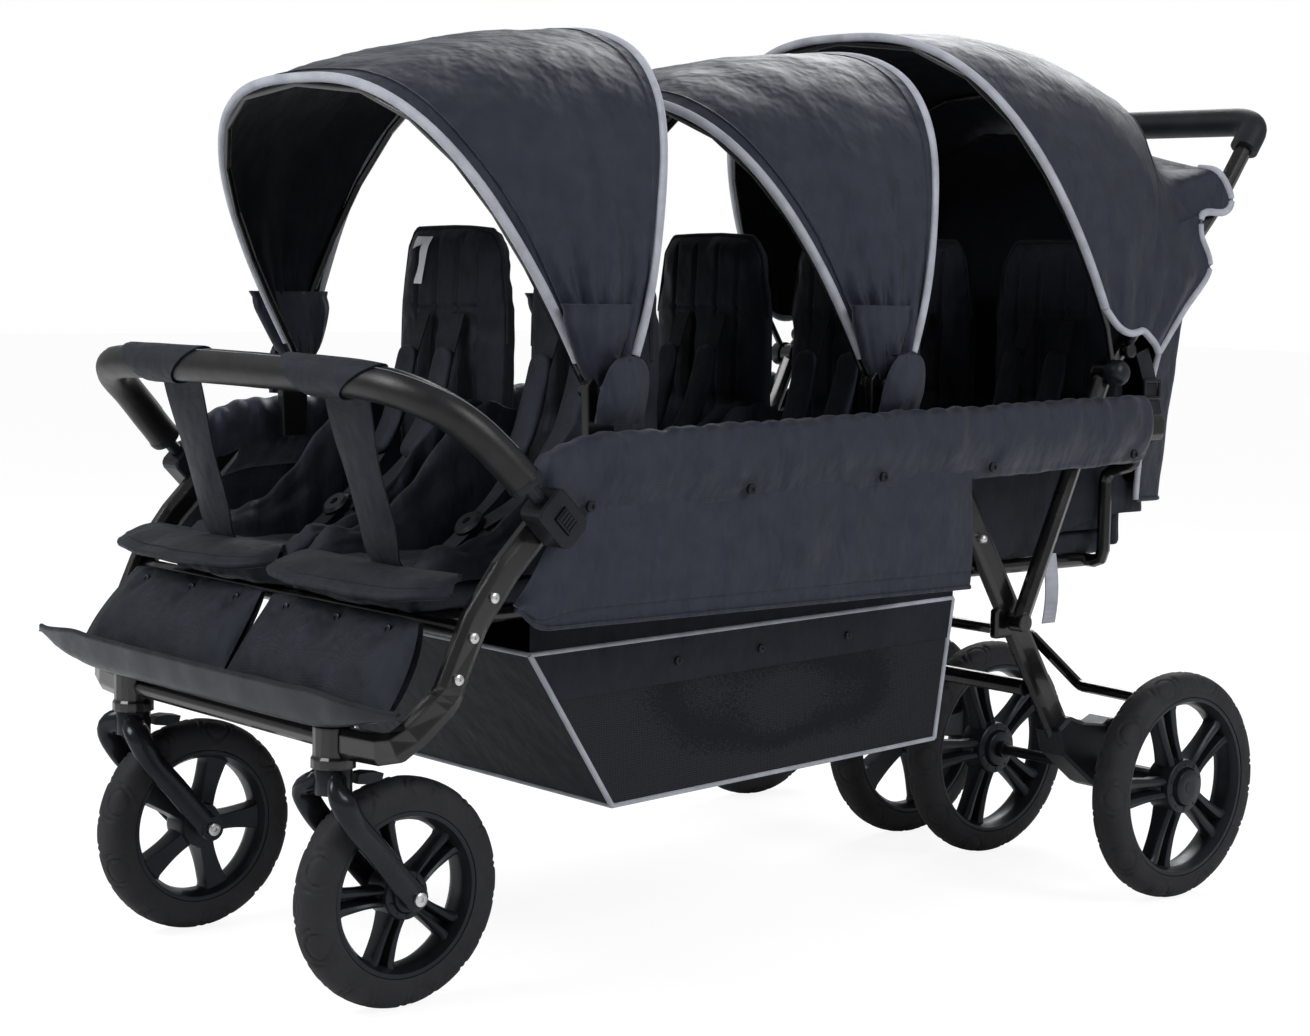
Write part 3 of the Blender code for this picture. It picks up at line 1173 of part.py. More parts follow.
def build_frame():
    """Build everything that stays fixed to the side frames."""
    body("frame")
    give(front_beam("front_beam"), "frame", "black_tube")
    for piece in both_sides(side_frame, "side_frame"):
        give(piece, "frame", "black_tube")
    for piece in both_sides(side_cover, "side_cover"):
        give(piece, "frame", "anthracite_cloth", 60)
    give(seat_frame("seat_frame"), "frame", "black_tube")
    give(seat_surround("seat_surround"), "frame", "black_cloth", 60)
    for row in range(3):
        give(seat_row(f"seat_row_{row + 1}", row), "frame", "black_cloth", 60)
    shares = [0.0, 0.18, 0.36, 0.54]
    split = (BASKET_SPLIT_Y - BASKET_BOTTOM[0][0]) / (BASKET_BOTTOM[1][0] - BASKET_BOTTOM[0][0])
    give(basket_part("basket", [*shares, split - 0.0006], True, False), "frame", "basket_mesh", 60)
    give(basket_part("basket_rear", [split + 0.0006, 0.83, 1.0], False, True), "frame", "basket_mesh", 60)
    give(foot_tray("foot_tray"), "frame", "black_plastic", 50)
    for side, label in ((1, "left"), (-1, "right")):
        give(calf_panel("calf_panel_" + label, side), "frame", "anthracite_cloth", 60)
    for piece in both_sides(clamp, "bumper_clamp"):
        give(piece, "frame", "black_plastic")
    buttons = both_sides(clamp_button, "clamp_button")
    for piece, label in zip(buttons, ("left", "right")):
        side = 1 if label == "left" else -1
        place = along_clamp(CLAMP_X[1], -0.004, 0.0)
        body("clamp_button_" + label, (side * place.x, place.y, place.z), "frame")
        give(piece, "clamp_button_" + label, "black_plastic")
    for k, pivot in enumerate(CANOPY_PIVOTS, 1):
        gap = SOCKET_X[1] + GAP
        rear = bow(f"canopy_{k}_rear_bow", CANOPY_REAR_BOW, pivot, CANOPY_REAR_BOW[0] - 0.0025, (gap, CANOPY_REAR_BOW[0] - 0.003))
        give(rear, "frame", "black_tube")
        give(canopy_cover(f"canopy_{k}_cover", pivot), "frame", "anthracite_cloth", 60)
        body(f"canopy_{k}_front", (0.0, *pivot), "frame")
        foot = CANOPY_FRONT_BOW[0] + 0.0015
        front = bow(f"canopy_{k}_front_bow", CANOPY_FRONT_BOW, pivot, foot, (foot, SOCKET_X[1] - 0.003))
        give(front, f"canopy_{k}_front", "black_tube")
    body("bumper", (0.0, *BUMPER_FRONT), "frame")
    give(bumper_bar("bumper_bar"), "bumper", "stitched_cover")
    for row in range(3):
        for side, label in ((1, "left"), (-1, "right")):
            pivot = (side * BACK_CENTRE_X, backrest_y(row) + BACK_THICK / 2, SEAT_TOP - SEAT_THICK)
            body(f"backrest_{row + 1}_{label}", pivot, "frame")
            give(backrest(f"backrest_{row + 1}_{label}", side, row), f"backrest_{row + 1}_{label}", "black_cloth", 60)


def build_rear():
    """Build the rear legs and what they carry, then the handle with its hood."""
    body("rear_legs", (0.0, *LEG_PIVOT), "frame")
    for piece in both_sides(rear_leg, "rear_leg"):
        give(piece, "rear_legs", "black_tube")
    give(leg_cross_tube("leg_cross_tube"), "rear_legs", "black_tube")
    for piece in both_sides(rear_bracket, "rear_bracket"):
        give(piece, "rear_legs", "black_plastic")
    body("brake", (0.0, *BRAKE_PIVOT), "rear_legs")
    give(brake_bar("brake_bar"), "brake", "black_tube")
    body("handle", (0.0, *HANDLE_PIVOT), "rear_legs")
    give(handle_frame("handle_frame"), "handle", "black_tube")
    give(handle_grip("handle_grip"), "handle", "stitched_cover")
    outer = HANDLE_X + HANDLE_TUBE_RADIUS
    give(hood_cover("hood_cover"), "handle", "anthracite_cloth", 60)
    give(rear_panel("rear_panel"), "handle", "anthracite_cloth", 60)
    back = bow("hood_back_bow", HOOD_BACK_BOW, HOOD_BACK_PIVOT, HOOD_ARM_X, (outer + GAP, HOOD_ARM_X), 0.022)
    give(back, "handle", "black_tube")
    body("hood_front", (0.0, *HANDLE_KNEE), "handle")
    front = bow("hood_front_bow", HOOD_FRONT_BOW, HANDLE_KNEE, HOOD_ARM_X, (HANDLE_X, HOOD_ARM_X), 0.022)
    give(front, "hood_front", "black_tube")


def main():
    """Build the whole stroller."""
    build_frame()
    build_rear()
    build_wheels()
    for leftover in list(CUTTERS.objects):
        bpy.data.objects.remove(leftover, do_unlink=True)
    bpy.context.view_layer.update()


main()
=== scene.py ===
"""Looks of the six-seat stroller: finishes, soft goods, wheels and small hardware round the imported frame."""

from __future__ import annotations

import logging
from collections.abc import Callable, Sequence
from dataclasses import dataclass, field
from enum import Enum
from math import copysign, cos, exp, hypot, pi, radians, sin, sqrt, tan

import bpy
from mathutils import Matrix, Vector, geometry, noise
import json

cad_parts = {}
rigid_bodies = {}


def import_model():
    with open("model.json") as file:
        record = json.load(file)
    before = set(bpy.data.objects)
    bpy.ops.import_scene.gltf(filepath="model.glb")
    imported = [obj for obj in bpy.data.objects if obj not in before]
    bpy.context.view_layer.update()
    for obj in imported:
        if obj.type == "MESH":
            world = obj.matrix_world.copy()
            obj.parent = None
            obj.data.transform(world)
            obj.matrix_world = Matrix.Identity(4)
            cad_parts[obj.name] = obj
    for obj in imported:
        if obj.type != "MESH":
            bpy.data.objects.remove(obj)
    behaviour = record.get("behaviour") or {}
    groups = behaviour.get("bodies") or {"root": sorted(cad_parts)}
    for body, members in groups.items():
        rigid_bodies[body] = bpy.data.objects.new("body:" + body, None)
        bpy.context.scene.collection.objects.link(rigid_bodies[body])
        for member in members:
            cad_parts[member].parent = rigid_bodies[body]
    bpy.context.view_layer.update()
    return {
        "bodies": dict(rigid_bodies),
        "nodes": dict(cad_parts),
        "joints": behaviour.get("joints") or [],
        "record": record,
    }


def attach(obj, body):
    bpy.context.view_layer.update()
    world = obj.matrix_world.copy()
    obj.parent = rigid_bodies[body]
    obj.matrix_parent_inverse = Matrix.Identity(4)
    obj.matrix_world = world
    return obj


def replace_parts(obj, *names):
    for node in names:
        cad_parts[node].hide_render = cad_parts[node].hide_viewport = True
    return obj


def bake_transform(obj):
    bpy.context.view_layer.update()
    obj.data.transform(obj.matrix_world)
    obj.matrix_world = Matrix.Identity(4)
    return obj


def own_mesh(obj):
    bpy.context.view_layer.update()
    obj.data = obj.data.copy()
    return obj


LOG = logging.getLogger("stroller")
Point = tuple[float, float, float]
Piece = bpy.types.Object
Knots = Sequence[Sequence[float]]
Shape = Callable[[float, float], Vector]


def smooth_step(low: float, high: float, value: float) -> float:
    """Ease a value from 0 at low to 1 at high.

    Args:
        low: value that gives 0.
        high: value that gives 1.
        value: value to ease.

    Returns:
        The eased share.
    """
    t = min(1.0, max(0.0, (value - low) / (high - low)))
    return t * t * (3 - 2 * t)


def side_name(side: int) -> str:
    """Return left for 1 and right for -1, as the frame's bodies are named."""
    return "left" if side > 0 else "right"


def ridge(value: float, place: float, width: float) -> float:
    """Return a soft bump of height 1 at place that fades out over width."""
    return exp(-(((value - place) / width) ** 2))


def folds(place: Vector, scale: float, seed: float = 0.0) -> float:
    """Return smooth noise from -1 to 1 at a place, for creases in cloth."""
    return noise.noise(place * scale + Vector((seed, 3.7 * seed, -seed)))


class Graph:
    """The node tree of one finish."""

    def __init__(self, name: str) -> None:
        """Start a material with its shader and object coordinates.

        Args:
            name: the material's name.
        """
        self.material = bpy.data.materials.new(name)
        self.material.use_nodes = True
        self.tree = self.material.node_tree
        self.shader = self.tree.nodes["Principled BSDF"]
        self.place = self.node("ShaderNodeTexCoord").outputs["Object"]

    def node(self, kind: str, inputs: dict | None = None, **settings: object) -> bpy.types.Node:
        """Add a node.

        Args:
            kind: Blender's node type.
            inputs: values or sockets for its inputs, by name or index.
            **settings: its properties.

        Returns:
            The new node.
        """
        made = self.tree.nodes.new(kind)
        for key, value in settings.items():
            setattr(made, key, value)
        for key, value in (inputs or {}).items():
            if isinstance(value, bpy.types.NodeSocket):
                self.tree.links.new(value, made.inputs[key])
            else:
                made.inputs[key].default_value = value
        return made

    def math(self, operation: str, *values: object) -> bpy.types.NodeSocket:
        """Return the result of a Math node on sockets or numbers."""
        return self.node("ShaderNodeMath", dict(enumerate(values)), operation=operation).outputs[0]

    def stretched(self, scale: Point, turn: Point = (0.0, 0.0, 0.0)) -> bpy.types.NodeSocket:
        """Return object coordinates, scaled and turned."""
        inputs = {"Vector": self.place, "Scale": scale, "Rotation": turn}
        return self.node("ShaderNodeMapping", inputs).outputs[0]

    def speckle(self, scale: float, detail: float = 3.0, where: object = None) -> bpy.types.NodeSocket:
        """Return noise from 0 to 1 over the piece.

        Args:
            scale: how many specks to a metre.
            detail: how fine they go.
            where: coordinates, or None for the piece's own.

        Returns:
            The noise.
        """
        inputs = {"Vector": where or self.place, "Scale": scale, "Detail": detail}
        return self.node("ShaderNodeTexNoise", inputs).outputs["Fac"]

    def ramp(self, value: object, low: Point, high: Point, start: float = 0.3, end: float = 0.7) -> object:
        """Return a colour that runs from low to high as value runs from start to end.

        Args:
            value: socket that drives the colour.
            low: colour at start.
            high: colour at end.
            start: value where it begins.
            end: value where it is done.

        Returns:
            The colour socket.
        """
        made = self.node("ShaderNodeValToRGB", {"Fac": value})
        made.color_ramp.elements[0].position = start
        made.color_ramp.elements[1].position = end
        made.color_ramp.elements[0].color = (*low, 1)
        made.color_ramp.elements[1].color = (*high, 1)
        return made.outputs["Color"]

    def weave(self, pitch: float) -> bpy.types.NodeSocket:
        """Return a woven height pattern of crossing threads, alike on faces of any direction.

        Args:
            pitch: distance between threads, in metres.

        Returns:
            The height socket.
        """
        total = None
        for turn in ((0.0, 0.0, 0.0), (0.0, 0.0, pi / 2), (0.0, pi / 2, 0.0)):
            where = self.stretched((1.0, 1.0, 1.0), turn)
            inputs = {"Vector": where, "Scale": 0.314 / pitch, "Distortion": 0.4, "Detail": 1.0,
                      "Detail Scale": 2.0}
            wave = self.node("ShaderNodeTexWave", inputs, bands_direction="X").outputs["Fac"]
            total = wave if total is None else self.math("ADD", total, wave)
        return total

    def bump(self, *layers: tuple[object, float, float], soften: float = 0.0) -> None:
        """Stack bumps on the shader.

        Args:
            *layers: height socket, strength and depth in metres of each.
            soften: radius in metres over which sharp edges are rounded off, or 0.
        """
        normal = None
        if soften:
            normal = self.node("ShaderNodeBevel", {"Radius": soften}, samples=6).outputs["Normal"]
        for height, strength, depth in layers:
            inputs = {"Height": height, "Strength": strength, "Distance": depth}
            if normal is not None:
                inputs["Normal"] = normal
            normal = self.node("ShaderNodeBump", inputs).outputs["Normal"]
        self.tree.links.new(normal, self.shader.inputs["Normal"])

    def feed(self, socket: str, value: object) -> None:
        """Link or set one of the shader's inputs.

        Args:
            socket: name of the input.
            value: a socket or a plain value.
        """
        if isinstance(value, bpy.types.NodeSocket):
            self.tree.links.new(value, self.shader.inputs[socket])
        else:
            self.shader.inputs[socket].default_value = value


@dataclass(frozen=True)
class Cloth:
    """A woven cloth, with threads, mottling and soft creases."""

    name: str
    dark: Point
    light: Point
    pitch: float = 0.0011
    crease: float = 0.35
    sheen: float = 0.25
    roughness: float = 0.78
    gleam: float = 0.15

    def make(self) -> bpy.types.Material:
        """Return the cloth's material.

        Returns:
            The new material.
        """
        g = Graph(self.name)
        threads = g.weave(self.pitch)
        mottled = g.math("ADD", g.speckle(38.0, 5.0), g.math("MULTIPLY", threads, 0.10))
        g.feed("Base Color", g.ramp(mottled, self.dark, self.light, 0.35, 0.85))
        rough = g.math("MULTIPLY_ADD", g.speckle(60.0, 2.0), 0.16, self.roughness - 0.08)
        g.feed("Roughness", rough)
        g.feed("Sheen Weight", self.sheen)
        g.feed("Sheen Roughness", 0.45)
        g.feed("Sheen Tint", (0.75, 0.80, 0.88, 1.0))
        g.feed("Specular IOR Level", self.gleam)
        g.feed("Specular Tint", (0.66, 0.74, 1.0, 1.0))
        crumple = g.speckle(12.0, 3.0, g.stretched((1.0, 1.3, 0.7), (0.3, 0.5, 0.2)))
        g.bump((crumple, self.crease, 0.026), (threads, 0.35, 0.0004))
        return g.material


@dataclass(frozen=True)
class Net:
    """A fine knitted net of hexagonal holes on dark yarn."""

    name: str
    yarn: Point
    hole: Point

    def make(self) -> bpy.types.Material:
        """Return the net's material.

        Returns:
            The new material.
        """
        g = Graph(self.name)
        cells = g.node("ShaderNodeTexVoronoi", {"Vector": g.place, "Scale": 420.0, "Randomness": 0.25},
                       feature="DISTANCE_TO_EDGE").outputs["Distance"]
        g.feed("Base Color", g.ramp(cells, self.yarn, self.hole, 0.10, 0.26))
        g.feed("Roughness", 0.7)
        g.feed("Specular IOR Level", 0.14)
        g.feed("Specular Tint", (0.70, 0.78, 1.0, 1.0))
        g.bump((cells, 0.6, 0.0006), (g.speckle(14.0, 2.0), 0.3, 0.01))
        return g.material


@dataclass(frozen=True)
class Plastic:
    """A moulded plastic with a fine spark-eroded grain."""

    name: str
    colour: Point
    roughness: float = 0.5
    grain: float = 0.25

    def make(self) -> bpy.types.Material:
        """Return the plastic's material.

        Returns:
            The new material.
        """
        g = Graph(self.name)
        lighter = tuple(min(1.0, c * 1.5 + 0.004) for c in self.colour)
        g.feed("Base Color", g.ramp(g.speckle(25.0, 4.0), self.colour, lighter, 0.3, 0.8))
        g.feed("Roughness", g.math("MULTIPLY_ADD", g.speckle(90.0, 3.0), 0.18, self.roughness - 0.09))
        g.feed("Specular IOR Level", 0.26)
        g.feed("Specular Tint", (0.80, 0.86, 1.0, 1.0))
        g.bump((g.speckle(1400.0, 2.0), self.grain, 0.0003), (g.speckle(9.0, 1.0), 0.05, 0.002))
        return g.material


@dataclass(frozen=True)
class Paint:
    """Powder-coated metal tube: glossy, slightly pebbled, with faint rubs."""

    name: str
    colour: Point
    roughness: float = 0.3

    def make(self) -> bpy.types.Material:
        """Return the paint's material.

        Returns:
            The new material.
        """
        g = Graph(self.name)
        rubs = g.speckle(7.0, 8.0, g.stretched((1.0, 1.0, 3.0)))
        rubbed = tuple(c * 2.0 + 0.002 for c in self.colour)
        g.feed("Base Color", g.ramp(rubs, self.colour, rubbed, 0.55, 0.80))
        g.feed("Roughness", g.math("MULTIPLY_ADD", rubs, 0.22, self.roughness - 0.1))
        g.feed("Specular IOR Level", 0.30)
        g.feed("Coat Weight", 0.40)
        g.feed("Coat Roughness", 0.06)
        g.bump((g.speckle(650.0, 2.0), 0.12, 0.0003), soften=0.005)
        return g.material


@dataclass(frozen=True)
class Metal:
    """Zinc-plated steel, lightly brushed."""

    name: str
    colour: Point = (0.62, 0.62, 0.63)

    def make(self) -> bpy.types.Material:
        """Return the metal's material.

        Returns:
            The new material.
        """
        g = Graph(self.name)
        darker = tuple(c * 0.7 for c in self.colour)
        g.feed("Base Color", g.ramp(g.speckle(120.0, 4.0), darker, self.colour))
        g.feed("Metallic", 1.0)
        g.feed("Roughness", g.math("MULTIPLY_ADD", g.speckle(300.0, 3.0), 0.2, 0.24))
        g.bump((g.speckle(900.0, 2.0, g.stretched((0.2, 3.0, 3.0))), 0.1, 0.0002))
        return g.material


@dataclass(frozen=True)
class Rubber:
    """Moulded tyre rubber, dull and faintly dusty."""

    name: str = "tyre_rubber_finish"

    def make(self) -> bpy.types.Material:
        """Return the rubber's material.

        Returns:
            The new material.
        """
        g = Graph(self.name)
        dust = g.math("ADD", g.speckle(30.0, 6.0), g.math("MULTIPLY", g.speckle(7.0, 2.0), 0.3))
        g.feed("Base Color", g.ramp(dust, (0.0060, 0.0063, 0.0078), (0.0140, 0.0145, 0.0170), 0.4, 0.95))
        g.feed("Roughness", g.math("MULTIPLY_ADD", g.speckle(160.0, 3.0), 0.15, 0.66))
        g.feed("Specular IOR Level", 0.35)
        g.bump((g.speckle(1100.0, 3.0), 0.3, 0.0004))
        return g.material


@dataclass(frozen=True)
class Leatherette:
    """Soft coated cloth with a pebbled grain, for the bumper and handle covers."""

    name: str = "stitched_cover_finish"

    def make(self) -> bpy.types.Material:
        """Return the leatherette's material.

        Returns:
            The new material.
        """
        g = Graph(self.name)
        pebbles = g.node("ShaderNodeTexVoronoi", {"Vector": g.place, "Scale": 520.0},
                         feature="DISTANCE_TO_EDGE").outputs["Distance"]
        g.feed("Base Color", g.ramp(g.speckle(45.0, 4.0), (0.0034, 0.0035, 0.0042), (0.0085, 0.0088, 0.0100)))
        g.feed("Roughness", g.math("MULTIPLY_ADD", g.speckle(70.0, 3.0), 0.16, 0.30))
        g.feed("Specular IOR Level", 0.30)
        g.bump((pebbles, 0.35, 0.0006), (g.speckle(26.0, 3.0), 0.15, 0.003))
        return g.material


class Finish(Enum):
    """The finishes of the stroller."""

    ANTHRACITE = Cloth("anthracite_cloth_finish", (0.0048, 0.0056, 0.0088), (0.0120, 0.0138, 0.0205),
                       crease=0.75, sheen=0.12, roughness=0.47, gleam=0.34)
    LINING = Cloth("black_lining_finish", (0.0026, 0.0026, 0.0032), (0.0065, 0.0065, 0.0080),
                   crease=0.35, sheen=0.05, roughness=0.6)
    SEAT = Cloth("black_seat_cloth_finish", (0.0030, 0.0033, 0.0046), (0.0078, 0.0084, 0.0110), crease=0.55,
                 sheen=0.06, roughness=0.56, gleam=0.26)
    PIPING = Cloth("grey_piping_finish", (0.24, 0.25, 0.285), (0.37, 0.385, 0.43), 0.0007, 0.05, 0.3, 0.6)
    WEBBING = Cloth("black_webbing_finish", (0.0050, 0.0050, 0.0056), (0.0150, 0.0150, 0.0160),
                    0.0016, 0.05, 0.05, 0.6)
    THREAD = Cloth("grey_thread_finish", (0.10, 0.10, 0.11), (0.22, 0.22, 0.23), 0.0006, 0.05, 0.1, 0.6)
    NUMERAL = Cloth("white_numeral_finish", (0.84, 0.84, 0.85), (0.95, 0.95, 0.95), 0.0009, 0.05, 0.1, 0.6)
    NET = Net("basket_net_finish", (0.007, 0.0075, 0.009), (0.026, 0.027, 0.030))
    PLASTIC = Plastic("black_plastic_finish", (0.0038, 0.0039, 0.0044), 0.40)
    SMOOTH_PLASTIC = Plastic("satin_plastic_finish", (0.0055, 0.0057, 0.0068), 0.36, 0.1)
    GLOSS_PLASTIC = Plastic("gloss_plastic_finish", (0.005, 0.005, 0.006), 0.24, 0.05)
    TRAY = Plastic("tray_plastic_finish", (0.0050, 0.0056, 0.0080), 0.40, 0.3)
    GRIP = Plastic("grip_foam_finish", (0.0050, 0.0051, 0.0056), 0.55, 0.6)
    GREY_PLASTIC = Plastic("grey_plastic_finish", (0.17, 0.18, 0.19), 0.5)
    PAINT = Paint("black_tube_finish", (0.0026, 0.0026, 0.0030), 0.24)
    STEEL = Metal("silver_steel_finish")
    TYRE = Rubber()
    COVER = Leatherette()

    @property
    def material(self) -> bpy.types.Material:
        """The finish's material, made once."""
        return bpy.data.materials.get(self.value.name) or self.value.make()

    def on(self, piece: Piece) -> Piece:
        """Dress a piece with this finish alone.

        Args:
            piece: the mesh to dress.

        Returns:
            The same piece.
        """
        piece.data.materials.clear()
        piece.data.materials.append(self.material)
        return piece


@dataclass
class Studio:
    """The floor, the soft lights and the camera."""

    place: Point = (2.487, -2.213, 0.816)
    turn: float = 49.295
    pitch: float = 5.6994
    roll: float = 1.1201
    lens: float = 71.43

    def camera(self) -> None:
        """Make the camera at the photograph's angle."""
        data = bpy.data.cameras.new("camera")
        made = bpy.data.objects.new("camera", data)
        bpy.context.scene.collection.objects.link(made)
        az, el, roll = (radians(v) for v in (self.turn, self.pitch, self.roll))
        back = Vector((sin(az) * cos(el), -cos(az) * cos(el), sin(el)))
        right = Vector((cos(az), sin(az), 0.0))
        up = back.cross(right)
        side = right * cos(roll) + up * sin(roll)
        top = up * cos(roll) - right * sin(roll)
        made.matrix_world = Matrix.Translation(self.place) @ Matrix((side, top, back)).transposed().to_4x4()
        data.lens = self.lens
        data.sensor_width = 36.0
        data.clip_start = 0.05
        data.clip_end = 60.0
        bpy.context.scene.camera = made

    def floor(self) -> None:
        """Lay the pale floor."""
        bpy.ops.mesh.primitive_plane_add(size=40.0, location=(0.0, 0.0, -0.0006))
        made = bpy.context.object
        made.name = "floor"
        g = Graph("pale_floor")
        g.feed("Base Color", g.ramp(g.speckle(0.8, 2.0), (0.90, 0.90, 0.90), (0.93, 0.93, 0.93)))
        g.feed("Roughness", 0.9)
        g.feed("Specular IOR Level", 0.1)
        seen = g.node("ShaderNodeLightPath")
        share = g.math("MULTIPLY", seen.outputs["Is Camera Ray"], 0.80)
        white = g.node("ShaderNodeEmission", {"Color": (1, 1, 1, 1), "Strength": 1.12}).outputs[0]
        mixed = g.node("ShaderNodeMixShader", {0: share, 1: g.shader.outputs[0], 2: white}).outputs[0]
        g.tree.links.new(mixed, g.tree.nodes["Material Output"].inputs["Surface"])
        made.data.materials.append(g.material)

    def lights(self) -> None:
        """Light the scene softly from all round, with the key high on the camera's left."""
        world = bpy.data.worlds.new("studio")
        world.use_nodes = True
        bpy.context.scene.world = world
        tree = world.node_tree
        path = tree.nodes.new("ShaderNodeLightPath")
        level = tree.nodes.new("ShaderNodeMix")
        level.data_type = "FLOAT"
        level.inputs[2].default_value = 0.42
        level.inputs[3].default_value = 1.0
        tree.links.new(path.outputs["Is Camera Ray"], level.inputs[0])
        shade = tree.nodes["Background"]
        shade.inputs["Color"].default_value = (1, 1, 1, 1)
        tree.links.new(level.outputs[0], shade.inputs["Strength"])
        lamps = (("key", (-0.6, -3.4, 3.2), 1.8, 135.0), ("fill", (3.6, 0.6, 2.6), 1.6, 78.0),
                 ("rim", (-1.8, 2.8, 2.8), 2.0, 80.0))
        for name, place, size, power in lamps:
            data = bpy.data.lights.new(name, "AREA")
            data.size = size
            data.energy = power
            lamp = bpy.data.objects.new(name, data)
            bpy.context.scene.collection.objects.link(lamp)
            lamp.location = place
            lamp.rotation_euler = (Vector((0, 0, 0.5)) - Vector(place)).to_track_quat("-Z", "Y").to_euler()

    def build(self) -> None:
        """Set the whole studio up."""
        bpy.context.scene.view_settings.view_transform = "Standard"
        self.camera()
        self.floor()
        self.lights()


class Bench:
    """The hand tools that every sub-assembly uses to model its pieces."""

    @staticmethod
    def clear() -> None:
        """Deselect everything, so that the next operator touches one piece."""
        if bpy.context.object and bpy.context.object.mode != "OBJECT":
            bpy.ops.object.mode_set(mode="OBJECT")
        bpy.ops.object.select_all(action="DESELECT")

    @staticmethod
    def pick(piece: Piece) -> Piece:
        """Select one piece alone and make it active.

        Args:
            piece: the piece to select.

        Returns:
            The same piece.
        """
        Bench.clear()
        piece.select_set(True)
        bpy.context.view_layer.objects.active = piece
        return piece

    @staticmethod
    def sheet(name: str, across: int, along: int, shape: Shape, thickness: float = 0.0) -> Piece:
        """Lay a grid over a surface and give it a thickness.

        Args:
            name: name of the piece.
            across: number of faces in the first direction.
            along: number of faces in the second direction.
            shape: place of the point at two shares from 0 to 1.
            thickness: wall of the finished cloth, or 0 for none.

        Returns:
            The new piece; its inner wall takes the second material.
        """
        Bench.clear()
        bpy.ops.mesh.primitive_grid_add(x_subdivisions=across, y_subdivisions=along, size=2.0)
        piece = bpy.context.object
        piece.name = piece.data.name = name
        for vertex in piece.data.vertices:
            vertex.co = shape((vertex.co.x + 1) / 2, (vertex.co.y + 1) / 2)
        if thickness:
            Bench.modify(piece, "SOLIDIFY", thickness=thickness, offset=0.0, material_offset=1)
        return Bench.smooth(piece)

    @staticmethod
    def modify(piece: Piece, kind: str, **settings: object) -> Piece:
        """Add a modifier and apply it.

        Args:
            piece: the piece to change.
            kind: the modifier's type.
            **settings: the modifier's settings.

        Returns:
            The same piece.
        """
        Bench.pick(piece)
        made = piece.modifiers.new(kind.lower(), kind)
        for key, value in settings.items():
            setattr(made, key, value)
        bpy.ops.object.modifier_apply(modifier=made.name)
        return piece

    @staticmethod
    def smooth(piece: Piece, angle: float = 50.0) -> Piece:
        """Shade a piece smooth across edges flatter than an angle in degrees.

        Args:
            piece: the piece to shade.
            angle: the angle.

        Returns:
            The same piece.
        """
        Bench.pick(piece)
        bpy.ops.object.shade_smooth_by_angle(angle=radians(angle))
        return piece

    @staticmethod
    def sweep(name: str, path: Sequence[Vector], radius: float, sides: int = 10, wide: float = 1.0,
              closed: bool = False, radii: Sequence[float] | None = None) -> Piece:
        """Draw a round or flat-oval section along a path.

        Args:
            name: name of the piece.
            path: points of the centre line.
            radius: radius of the section, in metres.
            sides: number of sides of the section.
            wide: how many times wider than thick the section is, across the path and level.
            closed: whether the path returns to its start.
            radii: share of the radius at each point, or None for an even section.

        Returns:
            The new piece.
        """
        Bench.clear()
        bpy.ops.mesh.primitive_circle_add(vertices=sides, radius=radius, fill_type="NOTHING")
        section = bpy.context.object
        bpy.ops.object.mode_set(mode="EDIT")
        bpy.ops.transform.resize(value=(wide, 1.0, 1.0))
        bpy.ops.object.mode_set(mode="OBJECT")
        bpy.ops.object.convert(target="CURVE")
        section = bpy.context.object
        data = bpy.data.curves.new(name, "CURVE")
        data.dimensions = "3D"
        line = data.splines.new("POLY")
        line.points.add(len(path) - 1)
        for k, place in enumerate(path):
            line.points[k].co = (*place, 1.0)
            line.points[k].radius = radii[k] if radii else 1.0
        line.use_cyclic_u = closed
        data.bevel_mode = "OBJECT"
        data.bevel_object = section
        data.use_fill_caps = not closed
        data.twist_mode = "Z_UP"
        piece = bpy.data.objects.new(name, data)
        bpy.context.scene.collection.objects.link(piece)
        Bench.pick(piece)
        bpy.ops.object.convert(target="MESH")
        piece = bpy.context.object
        bpy.data.objects.remove(section, do_unlink=True)
        Bench.outward(piece)
        return Bench.smooth(piece)

    @staticmethod
    def outward(piece: Piece) -> Piece:
        """Merge doubles and turn every face outwards.

        Args:
            piece: a closed piece.

        Returns:
            The same piece.
        """
        Bench.pick(piece)
        bpy.ops.object.mode_set(mode="EDIT")
        bpy.ops.mesh.select_all(action="SELECT")
        bpy.ops.mesh.remove_doubles(threshold=0.00002)
        bpy.ops.mesh.normals_make_consistent(inside=False)
        bpy.ops.object.mode_set(mode="OBJECT")
        return piece

    @staticmethod
    def capped(piece: Piece) -> Piece:
        """Fill the open ends of a tube or roll and turn every face outwards.

        Args:
            piece: the tube or roll.

        Returns:
            The same piece.
        """
        Bench.outward(piece)
        bpy.ops.object.mode_set(mode="EDIT")
        bpy.ops.mesh.select_all(action="SELECT")
        bpy.ops.mesh.fill_holes(sides=0)
        bpy.ops.mesh.normals_make_consistent(inside=False)
        bpy.ops.object.mode_set(mode="OBJECT")
        return piece

    @staticmethod
    def on_side(piece: Piece, side: int) -> Piece:
        """Mirror a piece made on the left to the right, or leave it.

        Args:
            piece: the piece, as made on the left.
            side: 1 for left, -1 for right.

        Returns:
            The same piece.
        """
        if side < 0:
            piece.data.transform(Matrix.Diagonal((-1, 1, 1, 1)))
            piece.data.flip_normals()
        return piece

    @staticmethod
    def lined(piece: Piece, away: Callable[[Vector], Vector]) -> None:
        """Dress a cloth in anthracite outside and in its black lining inside.

        Args:
            piece: the cloth.
            away: direction out of the cloth at a place.
        """
        Finish.ANTHRACITE.on(piece)
        piece.data.materials.append(Finish.LINING.material)
        for face in piece.data.polygons:
            face.material_index = 1 if face.normal.dot(away(face.center)) < 0 else 0

